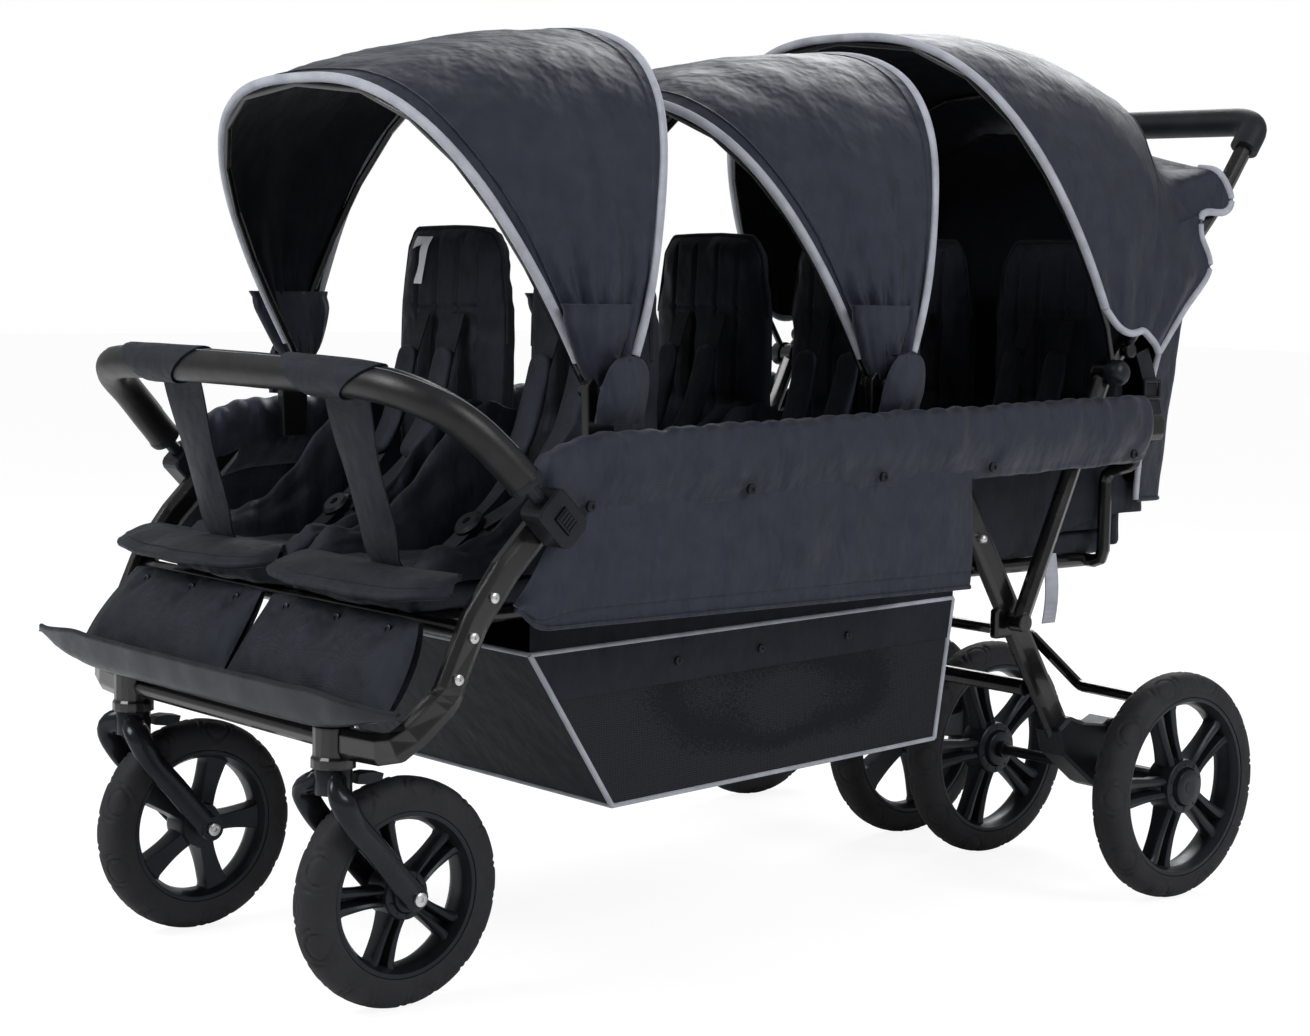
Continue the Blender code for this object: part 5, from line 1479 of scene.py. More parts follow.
@dataclass
class Wheels:
    """All six wheels, and the two castor forks with their bolts."""

    castor_x: float = 0.212
    castor_y: float = -0.6985
    axle_y: float = -0.6155
    front_radius: float = 0.127

    @staticmethod
    def place(pieces: Sequence[Piece], label: str, centre: Point, outward: int) -> None:
        """Copy a wheel's rim and tyre to one axle end and tie them to that wheel's body.

        Args:
            pieces: the rim and the tyre.
            label: the wheel's axle and side.
            centre: middle of the wheel.
            outward: 1 where the hub's cap faces left, -1 where it faces right.
        """
        turn = Matrix.Rotation(pi, 4, "Z") if outward < 0 else Matrix.Identity(4)
        axle, side = label.rsplit("_", 1)
        body = f"{axle}_wheel_{side}"
        for stem, piece in zip(("rim_", "tyre_"), pieces):
            made = Bench.copied(piece, f"{stem}{label}_detailed", Matrix.Translation(centre) @ turn)
            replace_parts(made, stem + label)
            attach(made, body)

    def fork(self, side: int) -> None:
        """Build one castor fork: two bent flat-oval arms from a round crown, with a bolt through the axle.

        Args:
            side: 1 for left, -1 for right.
        """
        label = side_name(side)
        parts = []
        for s in (-1, 1):
            arm = self.castor_x + s * 0.0370
            knots = ((0.0, self.castor_x + s * 0.006, self.castor_y + 0.004, 0.2585),
                     (0.12, self.castor_x + s * 0.022, self.castor_y - 0.010, 0.2570),
                     (0.26, arm, self.castor_y - 0.0120, 0.2440), (0.42, arm, self.castor_y + 0.0040, 0.2160),
                     (0.62, arm, self.castor_y + 0.0330, 0.1840), (0.82, arm, self.castor_y + 0.0610, 0.1510),
                     (1.0, arm, self.axle_y, self.front_radius))

            def shape(u: float, v: float, knots: Knots = knots) -> Vector:
                """Return a point of the arm, from the crown down to the axle."""
                here = along(knots, v)
                ahead = heading(knots, v)
                level = Vector((1, 0, 0))
                if v <= 0.26:
                    level = level.slerp(Vector((0, 1, 0)), 0.5 * (1 - v / 0.26))
                normal = ahead.cross(level).normalized()
                flat = ahead.cross(normal).normalized()
                thick = 0.0105 - 0.0042 * smooth_step(0.2, 0.9, v)
                wide = 0.0156 - 0.0014 * smooth_step(0.0, 0.6, v)
                turn = 2 * pi * u
                return here + flat * thick * cos(turn) + normal * wide * sin(turn)

            parts.append(Bench.smooth(Bench.capped(Bench.sheet("arm", 24, 30, shape))))
            eye = Vector((arm - 0.0058, self.axle_y, self.front_radius))
            parts.append(Bench.button("eye", eye, Vector((1, 0, 0)), 0.0146, 0.0076, 0.0))
        spot = Vector((self.castor_x, self.castor_y, 0.2455))
        parts.append(Bench.button("crown", spot, Vector((0, 0, 1)), 0.0205, 0.0270, 0.0))
        parts.append(Bench.sweep("stem", [spot, spot + Vector((0, 0, 0.064))], 0.0085, 16))
        made = Bench.join("castor_fork_detailed_" + label, parts)
        bolts = []
        for s in (-1, 1):
            seat = Vector((self.castor_x + s * 0.0435, self.axle_y, self.front_radius))
            bolts.append(Bench.button("bolt", seat, Vector((s, 0, 0)), 0.0078, 0.0034, 0.30))
        bolt = Bench.join("castor_bolts_" + label, bolts)
        for piece, finish in ((made, Finish.GLOSS_PLASTIC), (bolt, Finish.STEEL)):
            finish.on(Bench.on_side(piece, side))
            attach(piece, "castor_" + label)
        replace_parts(made, "castor_fork_" + label)

    def build(self) -> None:
        """Build every wheel and fork."""
        front = WheelKind("front", 0.127, 0.0225, 0.0914, 0.028, 0.0215, 0.0040, 9)
        rear = WheelKind("rear", 0.1476, 0.0220, 0.1166, 0.036, 0.0200, 0.0065, 10)
        for kind, places in ((front, (("front_left", (self.castor_x, self.axle_y, 0.127), 1),
                                      ("front_right", (-self.castor_x, self.axle_y, 0.127), -1))),
                             (rear, (("rear_outer_left", (0.402, 0.480, 0.1476), 1),
                                     ("rear_outer_right", (-0.402, 0.480, 0.1476), -1),
                                     ("rear_inner_left", (0.0765, 0.480, 0.1476), 1),
                                     ("rear_inner_right", (-0.0765, 0.480, 0.1476), -1)))):
            pieces = (kind.rim(), kind.tyre())
            for label, centre, outward in places:
                self.place(pieces, label, centre, outward)
            for piece in pieces:
                bpy.data.objects.remove(piece, do_unlink=True)
            LOG.info("%s wheels made", kind.name)
        for side in (1, -1):
            self.fork(side)


def puffed(name: str, node: Piece, voxel: float, pressure: float, cap: float,
           grow: Callable[[Vector], float] | None = None) -> Piece:
    """Fill a copy of a flat CAD cushion like a sewn pad: remesh it, blow it up as cloth, then sew its seams.

    Args:
        name: name of the new piece.
        node: the CAD cushion.
        voxel: size of the remesh.
        pressure: how hard the cloth is blown up.
        cap: how far a point may move.
        grow: height to add along the normal at a place, for seams, channels and creases.

    Returns:
        The padded piece.
    """
    piece = bpy.data.objects.new(name, node.data.copy())
    bpy.context.scene.collection.objects.link(piece)
    piece.data.materials.clear()
    Bench.outward(piece)
    Bench.modify(piece, "DISPLACE", strength=-0.0016, mid_level=0.0)
    Bench.modify(piece, "REMESH", mode="VOXEL", voxel_size=voxel)
    rest = [v.co.copy() for v in piece.data.vertices]
    cloth = piece.modifiers.new("cloth", "CLOTH")
    cloth.settings.quality = 4
    cloth.settings.mass = 0.3
    cloth.settings.tension_stiffness = 12
    cloth.settings.compression_stiffness = 12
    cloth.settings.use_pressure = True
    cloth.settings.uniform_pressure_force = pressure
    cloth.settings.effector_weights.gravity = 0.0
    for frame in range(1, 21):
        bpy.context.scene.frame_set(frame)
    blown = piece.evaluated_get(bpy.context.evaluated_depsgraph_get())
    moved = [v.co.copy() for v in blown.data.vertices]
    piece.modifiers.remove(cloth)
    bpy.context.scene.frame_set(1)
    for vertex, start, end in zip(piece.data.vertices, rest, moved):
        step = end - start
        if step.length > cap:
            step *= cap / step.length
        vertex.co = start + step
    Bench.modify(piece, "SUBSURF", levels=1, render_levels=1)
    if grow:
        piece.data.update()
        normals = [v.normal.copy() for v in piece.data.vertices]
        for vertex, normal in zip(piece.data.vertices, normals):
            vertex.co += normal * grow(vertex.co)
    return Bench.smooth(piece, 80.0)


@dataclass
class Seat:
    """One of the six places: its backrest with straps, its side wings and, in the first row, a front lip."""

    row: int
    side: int
    centre: float = 0.134
    seat_top: float = 0.472
    row_y: tuple[float, float, float] = (-0.305, 0.125, 0.520)
    depth: tuple[float, float, float] = (0.325, 0.300, 0.270)

    @property
    def label(self) -> str:
        """The place's row and side, as its body is named."""
        return f"{self.row}_{side_name(self.side)}"

    @property
    def back_y(self) -> float:
        """The front face of the backrest."""
        return self.row_y[self.row - 1] - 0.004

    def tie(self, piece: Piece, finish: Finish) -> Piece:
        """Dress a strap or wing and bake its place into its mesh.

        Args:
            piece: the strap or wing.
            finish: what it is made of.

        Returns:
            The same piece.
        """
        finish.on(piece)
        "backrest_" + self.label
        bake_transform(piece)
        return piece

    def strap(self, name: str, knots: Knots, width: float, thick: float = 0.0014,
              steps: int = 40) -> Piece:
        """Return a flat woven strap along knots of share, x, y and z, its width level and across.

        Args:
            name: name of the piece.
            knots: rows of share, x, y and z.
            width: its width.
            thick: its thickness.
            steps: number of faces along it.

        Returns:
            The strap.
        """

        def shape(u: float, v: float) -> Vector:
            """Return a point of the strap."""
            here = along(knots, v)
            ahead = heading(knots, v)
            level = ahead.cross(Vector((0, -1, 0.6)).normalized()).normalized()
            return here + level * width * (u - 0.5)

        return Bench.outward(Bench.sheet(name, 6, steps, shape, thick))

    def straps(self) -> None:
        """Build the harness: shoulder straps with pads, lap straps, the crotch strap and the buckle."""
        x0, y, top = self.side * self.centre, self.back_y, self.seat_top
        pieces = []
        for s in (-1, 1):
            knots = ((0.0, x0 + s * 0.012, y - 0.150, top + 0.040),
                     (0.25, x0 + s * 0.026, y - 0.096, top + 0.075),
                     (0.5, x0 + s * 0.036, y - 0.046, top + 0.135),
                     (0.75, x0 + s * 0.038, y - 0.026, top + 0.205),
                     (1.0, x0 + s * 0.036, y - 0.004, top + 0.272))
            pieces.append(self.strap("shoulder", knots, 0.024))
            lap = ((0.0, x0 + s * 0.014, y - 0.154, top + 0.036),
                   (0.5, x0 + s * 0.060, y - 0.105, top + 0.034),
                   (1.0, x0 + s * 0.104, y - 0.030, top + 0.012))
            pieces.append(self.strap("lap", lap, 0.022, steps=24))
        crotch = ((0.0, x0, y - 0.205, top + 0.003), (0.5, x0, y - 0.178, top + 0.022),
                  (1.0, x0, y - 0.160, top + 0.036))
        pieces.append(self.strap("crotch", crotch, 0.026, steps=16))
        self.tie(Bench.join(f"harness_{self.label}", pieces), Finish.WEBBING)
        pads = []
        for s in (-1, 1):
            knots = ((0.0, x0 + s * 0.030, y - 0.078, top + 0.098),
                     (0.5, x0 + s * 0.037, y - 0.044, top + 0.160),
                     (1.0, x0 + s * 0.038, y - 0.026, top + 0.232))

            def pad(u: float, v: float, knots: Knots = knots) -> Vector:
                """Return a point of the shoulder pad."""
                here = along(knots, v)
                ahead = heading(knots, v)
                level = ahead.cross(Vector((0, -1, 0.6)).normalized()).normalized()
                out = level.cross(ahead)
                out = out if out.y < 0 else -out
                turn = 2 * pi * u
                end = sqrt(max(0.0, 1 - abs(2 * v - 1) ** 6)) * 0.98 + 0.02
                wide = 0.0200 * copysign(abs(cos(turn)) ** 0.6, cos(turn)) * end
                high = (0.0060 + 0.0012 * sin(v * 14)) * sin(turn) * end
                return here + level * wide + out * high

            pads.append(Bench.outward(Bench.sheet("pad", 24, 26, pad)))
        made = self.tie(Bench.join(f"shoulder_pads_{self.label}", pads), Finish.SEAT)
        spot = Vector((x0, y - 0.156, top + 0.040))
        facing = Vector((0, -0.65, 0.76))
        name = f"harness_buckle_{self.label}"
        buckle = Bench.button(name, spot - facing * 0.006, facing, 0.0185, 0.0100, 0.25)
        bpy.context.view_layer.update()
        Finish.SMOOTH_PLASTIC.on(buckle)
        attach(buckle, "frame")

    def wing(self, name: str, x_low: float, x_high: float, lean: float) -> None:
        """Build one gathered side wing between the seat pad and the backrest.

        Args:
            name: stem of its name.
            x_low: its edge nearer the middle.
            x_high: its outer edge.
            lean: how far its crest leans out.
        """
        y0 = self.row_y[self.row - 1] - self.depth[self.row - 1] + 0.020
        y1 = self.back_y - 0.004

        def shape(u: float, v: float) -> Vector:
            """Return a point of the wing, left side."""
            y = y0 + (y1 - y0) * u
            crest = 0.020 + 0.150 * smooth_step(0.05, 0.95, u) + 0.012 * sin(u * 9 + self.row)
            turn = pi * v
            up = max(0.0, sin(turn)) ** 0.55 * sqrt(min(1.0, u / 0.10))
            half = (x_high - x_low) / 2 * (1 - 0.72 * up * smooth_step(0.0, 0.5, u))
            half *= 0.25 + 0.75 * sqrt(min(1.0, u / 0.08))
            x = (x_low + x_high) / 2 + half * cos(turn) + lean * up * u
            where = Vector((x * 0.6, y, up * 0.3))
            crease = 0.0050 * folds(where, 17.0, self.row + self.side) + 0.0022 * sin(u * 42 + 5 * v) * up
            return Vector((x + crease * cos(turn), y, self.seat_top - 0.004 + (crest + crease) * up))

        made = Bench.outward(Bench.sheet(f"{name}_{self.label}", 56, 26, shape, 0.0024))
        self.tie(Bench.on_side(made, self.side), Finish.SEAT)

    def lip(self) -> None:
        """Build the first row's rounded front lip with its stitched edge."""
        middle, half = self.side * 0.168, 0.154

        def outline(t: float) -> tuple[float, float]:
            """Return x and y of the lip's front edge."""
            turn = pi * t
            reach = 0.054 * abs(sin(turn)) ** 0.55
            return middle + half * cos(turn) * self.side, -0.6285 - reach

        def shape(u: float, v: float) -> Vector:
            """Return a point of the lip's middle sheet."""
            x, y = outline(u)
            inner = Vector((middle + (x - middle) * 0.86, -0.598, self.seat_top + 0.006))
            drop = 0.012 * v ** 3 + 0.006 * sin(pi * u) * v
            outer = Vector((x, y, self.seat_top - 0.006))
            point = inner.lerp(outer, v)
            swell = 0.003 * sin(pi * v) + 0.002 * folds(point, 24.0, 3.0)
            point.z = self.seat_top + 0.005 - drop + swell
            return point

        made = Bench.outward(Bench.sheet("seat_lip_" + self.label, 72, 14, shape, 0.0080))
        Bench.modify(made, "BEVEL", width=0.0022, segments=3, limit_method="ANGLE", angle_limit=0.9)
        Finish.SEAT.on(Bench.smooth(made))
        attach(made, "frame")
        for k, (share, up) in enumerate(((0.90, 0.0046), (1.0, 0.0))):
            path = [shape(0.004 + 0.992 * j / 70, share) + Vector((0, 0, up)) for j in range(71)]
            rope = Bench.sweep(f"seat_lip_edge_{k}_{self.label}", path, 0.0010 if k == 0 else 0.0046, 8)
            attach(Finish.SEAT.on(rope), "frame")

    def build(self, back: Piece) -> None:
        """Build the place round a finished backrest.

        Args:
            back: the backrest's padded cloth, in place.
        """
        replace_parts(back, "backrest_" + self.label)
        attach(Finish.SEAT.on(back), "backrest_" + self.label)
        self.edge()
        self.straps()
        self.wing("outer_wing", 0.206, 0.251, 0.004)
        self.wing("inner_wing", 0.004, 0.040, -0.004)
        if self.row == 1:
            self.lip()
        LOG.info("seat %s made", self.label)

    def edge(self) -> None:
        """Cord the backrest's outline, up one side, over its top and down the other."""
        pad = bpy.data.objects["backrest_pad_" + self.label]
        spots = [Vector((v.co.x, v.co.z)) for v in pad.data.vertices if v.co.z > self.seat_top - 0.02]
        ring = [spots[k] for k in geometry.convex_hull_2d(spots)]
        first = min(range(len(ring)), key=lambda k: ring[k].y + (ring[k].x - self.side * self.centre) * -0.5)
        ring = ring[first:] + ring[:first]
        path = [Vector((p.x, self.back_y + 0.0165, p.y)) for p in ring if p.y > self.seat_top]
        rope = Bench.sweep("backrest_edge_" + self.label, path, 0.0030, 8)
        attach(Finish.WEBBING.on(rope), "backrest_" + self.label)


@dataclass
class Seating:
    """All six places, their three pads, the calf panels, the numeral and the cloth round the last row."""

    nodes: dict[str, Piece]

    @staticmethod
    def quilt(place: Vector) -> float:
        """Return the height of the seat pads' creases and sewn middle seam."""
        creases = 0.0022 * folds(place, 22.0, 2.0) + 0.0010 * folds(place, 60.0, 4.0)
        return creases - 0.0040 * ridge(place.x, 0, 0.006)

    @staticmethod
    def tufts(place: Vector) -> float:
        """Return the height of a left backrest's upright channels, cross seam and creases.

        Args:
            place: a point of the backrest.

        Returns:
            The height to add.
        """
        x = place.x - 0.134
        inside = smooth_step(0.108, 0.095, abs(x)) * smooth_step(0.84, 0.83, place.z)
        seams = -0.0030 * inside * sum(ridge(x, at, 0.0030) for at in (-0.062, -0.022, 0.022, 0.062))
        across = -0.0030 * ridge(place.z, 0.752, 0.003) * smooth_step(0.075, 0.065, abs(x))
        return seams + across + 0.0014 * folds(place, 30.0, 6.0)

    def numeral(self) -> None:
        """Stitch the plain seat number on the first right backrest."""

        def stem(u: float, v: float) -> Vector:
            """Return a point of the upright stroke."""
            return Vector((-0.2015 + 0.0175 * u + 0.0145 * v, -0.3165, 0.779 + 0.059 * v))

        def flag(u: float, v: float) -> Vector:
            """Return a point of the short top stroke."""
            up = 0.8225 + 0.0095 * u * (1 - v) + 0.0155 * v
            return Vector((-0.2070 + 0.0230 * u + 0.004 * v, -0.3165, up))

        strokes = [Bench.sheet("stem", 8, 30, stem, 0.0006), Bench.sheet("flag", 10, 8, flag, 0.0006)]
        made = Bench.join("seat_number", [Bench.outward(piece) for piece in strokes])
        back = bpy.data.objects["backrest_pad_1_right"]
        for vertex in made.data.vertices:
            found, spot, _, _ = back.ray_cast(Vector((vertex.co.x, -0.5, vertex.co.z)), Vector((0, 1, 0)))
            lift = 0.0010 - (vertex.co.y + 0.3165)
            vertex.co.y = (spot.y if found else -0.3165) - lift
        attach(Finish.NUMERAL.on(made), "backrest_1_right")

    def calf(self, side: int) -> None:
        """Build one padded calf panel, sloping from the seat down to the foot tray, with its snaps.

        Args:
            side: 1 for left, -1 for right.
        """
        label = side_name(side)

        def shape(u: float, v: float) -> Vector:
            """Return a point of the pad: its front for v below a half, then its back."""
            turn = 2 * pi * v
            up = 0.5 - 0.5 * cos(turn)
            front = 1 if v < 0.5 else -1
            x = 0.0015 + 0.010 * up + (0.318 - 0.036 * up ** 2) * u
            edge = min(1.0, 9 * u * (1 - u) + 0.02)
            z = 0.3365 + 0.0985 * up
            lean = -0.6400 - 0.062 * (1 - up) ** 1.2 - 0.004
            body = (0.0240 * edge ** 0.5 * sin(pi * up) ** 0.6 + 0.0035)
            where = Vector((x, front * 0.2, z))
            crease = 0.0042 * folds(where, 15.0, 4.0) + 0.0016 * sin(x * 60 + 9 * up) * up
            dents = sum(ridge(hypot(x - at, z - 0.4225), 0.0, 0.012) for at in (0.052, 0.152, 0.252))
            y = lean - front * body * (1 if front > 0 else 0.35) - (crease * edge if front > 0 else 0)
            if front > 0:
                y += 0.0105 * dents + 0.0030 * (ridge(u, 0.055, 0.012) + ridge(u, 0.945, 0.012)) * edge
            return Vector((x, y, z - 0.004 * (1 - edge) * (up - 0.5)))

        made = Bench.capped(Bench.sheet("calf_pad_" + label, 84, 60, shape))
        snaps = []
        for at in (0.052, 0.152, 0.252):
            spot = Vector((at, -0.6545, 0.4225))
            found, hit, _, _ = made.ray_cast(Vector((at, -0.75, 0.4225)), Vector((0, 1, 0)))
            snaps.append(Bench.button("snap", hit if found else spot, Vector((0, -1, 0.1)), 0.0058, 0.0028))
        heads = Bench.join("calf_snaps_" + label, snaps)
        for piece, finish in ((made, Finish.SEAT), (heads, Finish.SMOOTH_PLASTIC)):
            Bench.on_side(piece, side)
            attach(Bench.smooth(finish.on(piece), 60.0), "frame")
        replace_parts(made, "calf_panel_" + label)

    def surround(self, u: float, v: float) -> Vector:
        """Return a point of the cloth round the last row, from the left front round the back to the right.

        Args:
            u: share from the left front to the right front.
            v: share from bottom to top.

        Returns:
            The point.
        """
        half, front, rear, corner = 0.2562, 0.150, 0.582, 0.012
        side_run, back_run = rear - corner - front, half - corner
        total = side_run + back_run + 0.019
        reach = abs(u - 0.5) * 2 * total
        if reach < back_run:
            x, y = reach, rear
        elif reach < back_run + 0.019:
            t = (reach - back_run) / 0.019 * pi / 2
            x, y = back_run + corner * sin(t), rear - corner * (1 - cos(t))
        else:
            x, y = half, rear - corner - (reach - back_run - 0.019)
        low = 0.438 + 0.050 * smooth_step(0.24, 0.54, y)
        high = 0.600 - 0.072 * smooth_step(0.485, 0.545, y)
        crease = 0.0011 * folds(Vector((x, y, v * 0.2)), 26.0, 4.0)
        x += crease if y < rear - 0.02 else 0
        return Vector((copysign(x, 0.5 - u), y + crease, low + (high - low) * v))

    def build(self) -> None:
        """Build every place and what belongs to the rows."""
        for row in (1, 2, 3):
            pad = puffed(f"seat_pad_{row}", self.nodes[f"seat_row_{row}"], 0.0060, 4.0, 0.006, self.quilt)
            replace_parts(pad, f"seat_row_{row}")
            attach(Finish.SEAT.on(pad), "frame")
            node = self.nodes[f"backrest_{row}_left"]
            left = puffed(f"backrest_pad_{row}_left", node, 0.0055, 4.0, 0.006, self.tufts)
            right = Bench.copied(left, f"backrest_pad_{row}_right", Matrix.Diagonal((-1, 1, 1, 1)))
            Seat(row, 1).build(left)
            Seat(row, -1).build(right)
        self.numeral()
        for side in (1, -1):
            self.calf(side)
        made = Bench.outward(Bench.sheet("seat_surround_cloth", 130, 12, self.surround, 0.0022))
        flat = cut_size(self.surround)
        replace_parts(made, "seat_surround")
        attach(Finish.SEAT.on(made), "frame")


@dataclass
class Basket:
    """The netting basket under the seats: banded walls, corded edges, snaps, a dark floor and closed ends."""

    half: float = 0.2478
    front: tuple[float, float, float, float] = (-0.465, 0.378, -0.343, 0.194)
    rear: tuple[float, float, float, float] = (0.215, 0.394, 0.188, 0.216)
    split: float = 0.646

    def wall(self, share: float, level: float) -> Vector:
        """Return the left wall's point, level 0 at the bottom edge, 1 at the top edge, above 1 on the hem.

        Args:
            share: how far back, 0 to 1.
            level: how far up.

        Returns:
            The point.
        """
        top_y, top_z, low_y, low_z = (a + (b - a) * share for a, b in zip(self.front, self.rear))
        up = min(level, 1.0)
        y, z = low_y + (top_y - low_y) * up, low_z + (top_z - low_z) * up
        if level > 1.0:
            z += (0.430 - z) * (level - 1.0)
        belly = sin(pi * up) * sin(pi * share)
        x = self.half - 0.0026 * belly + 0.0009 * folds(Vector((0, y, z)), 9.0, 5.0) * belly
        return Vector((x, y, z))

    @staticmethod
    def band_level(share: float) -> float:
        """Return the level of the dark band's lower edge."""
        return 0.70 + 0.02 * share

    def strip(self, name: str, start: float, stop: float, low: Callable[[float], float],
              high: Callable[[float], float], out: float) -> Piece:
        """Return both walls' cloth between two levels and two shares.

        Args:
            name: name of the piece.
            start: share where it begins.
            stop: share where it ends.
            low: its lower level at a share.
            high: its upper level at a share.
            out: how far it stands out.

        Returns:
            The piece.
        """

        def shape(u: float, v: float) -> Vector:
            """Return a point of the left wall's strip."""
            share = start + (stop - start) * u
            return self.wall(share, low(share) + (high(share) - low(share)) * v) + Vector((out, 0, 0))

        wide = max(8, int(60 * (stop - start)))
        left = Bench.sheet(name, wide, 10, shape, 0.0012)
        return Bench.join(name, [left, Bench.copied(left, name + "_r", Matrix.Diagonal((-1, 1, 1, 1)))])

    def end(self, name: str, share: float) -> Piece:
        """Return the closed end wall at a share.

        Args:
            name: name of the piece.
            share: how far back it stands.

        Returns:
            The wall.
        """

        def shape(u: float, v: float) -> Vector:
            """Return a point of the end wall."""
            here = self.wall(share, v)
            crease = 0.0012 * folds(Vector((u, v, 0.0)), 6.0, 2.0)
            return Vector((here.x * (1 - 2 * u), here.y + crease, here.z))

        return Bench.outward(Bench.sheet(name, 24, 10, shape, 0.0014))

    def floor(self, name: str, start: float, stop: float) -> Piece:
        """Return the floor between two shares.

        Args:
            name: name of the piece.
            start: share where it begins.
            stop: share where it ends.

        Returns:
            The floor.
        """

        def shape(u: float, v: float) -> Vector:
            """Return a point of the floor."""
            here = self.wall(start + (stop - start) * v, 0.0)
            sag = 0.0028 * sin(pi * u) * sin(pi * v)
            return Vector((here.x * (1 - 2 * u), here.y, here.z + 0.0012 - sag * 0.3))

        return Bench.outward(Bench.sheet(name, 24, 20, shape, 0.0016))

    def settle(self, piece: Piece, finish: Finish, rear: bool) -> Piece:
        """Dress a piece and let it ride on the frame, with a mesh of its own in the rear.

        Args:
            piece: the piece.
            finish: what it is made of.
            rear: whether it gets a mesh of its own.

        Returns:
            The same piece.
        """
        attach(finish.on(piece), "frame")
        if rear:
            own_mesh(piece)
        return piece

    def cords(self, label: str, start: float, stop: float) -> Piece:
        """Return the corded edges between two shares, the front or rear corners with them.

        Args:
            label: front or rear.
            start: share where they begin.
            stop: share where they end.

        Returns:
            The joined cords.
        """
        runs: list[tuple[list[Vector], float]] = []
        for level in (0.0, 1.0):
            runs.append(([self.wall(start + (stop - start) * k / 24, level) for k in range(25)], 0.0030))
        corner = 0.0 if start == 0.0 else 1.0
        runs.append(([self.wall(corner, k / 10) for k in range(11)], 0.0034))
        pieces = []
        for path, radius in runs:
            for side in (1, -1):
                line = [Vector((p.x * side, p.y, p.z)) for p in path]
                pieces.append(Bench.sweep("cord", line, radius, 8))
        for level in (0.0, 1.0):
            here = self.wall(corner, level)
            line = [Vector((here.x * (1 - k / 10), here.y, here.z)) for k in range(21)]
            pieces.append(Bench.sweep("cord", line, 0.0030, 8))
        return Bench.join(f"basket_edges_{label}", pieces)

    def build(self) -> None:
        """Build the front part and the rear part, which both ride on the frame; the rear part's pieces get
        meshes of their own.
        """
        for label, start, stop in (("front", 0.0, self.split), ("rear", self.split, 1.0)):
            rear = label == "rear"
            net = self.strip(f"basket_net_{label}", start, stop, lambda s: 0.0, lambda s: 1.0, 0.0)
            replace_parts(self.settle(net, Finish.NET, rear), "basket_rear" if rear else "basket")
            band = self.strip(f"basket_band_{label}", start, stop, self.band_level, lambda s: 1.0, 0.0015)
            hem = self.strip(f"basket_hem_{label}", start, stop, lambda s: 1.0, lambda s: 2.0, 0.0)
            for piece, finish in ((band, Finish.SEAT), (hem, Finish.LINING)):
                self.settle(piece, finish, rear)
                size = (2 * 0.07, max(0.2, (stop - start) * 0.66))
                cloth_area(piece, size)
            closed = Bench.join(f"basket_ends_{label}", [self.end("end", 1.0 if rear else 0.0),
                                                         self.floor("floor", start, stop)])
            self.settle(closed, Finish.LINING, rear)
            size = (0.4956, 0.24 + (stop - start) * 0.54)
            self.settle(self.cords(label, start, stop), Finish.PIPING, rear)
            snaps = []
            for share in ((0.30, 0.50) if not rear else (0.72,)):
                spot = self.wall(share, 0.84)
                for side in (1, -1):
                    seat = Vector((side * (spot.x + 0.0020), spot.y, spot.z))
                    snaps.append(Bench.button("snap", seat, Vector((side, 0, 0)), 0.0050, 0.0026))
            self.settle(Bench.join(f"basket_snaps_{label}", snaps), Finish.SMOOTH_PLASTIC, rear)
        LOG.info("basket made")


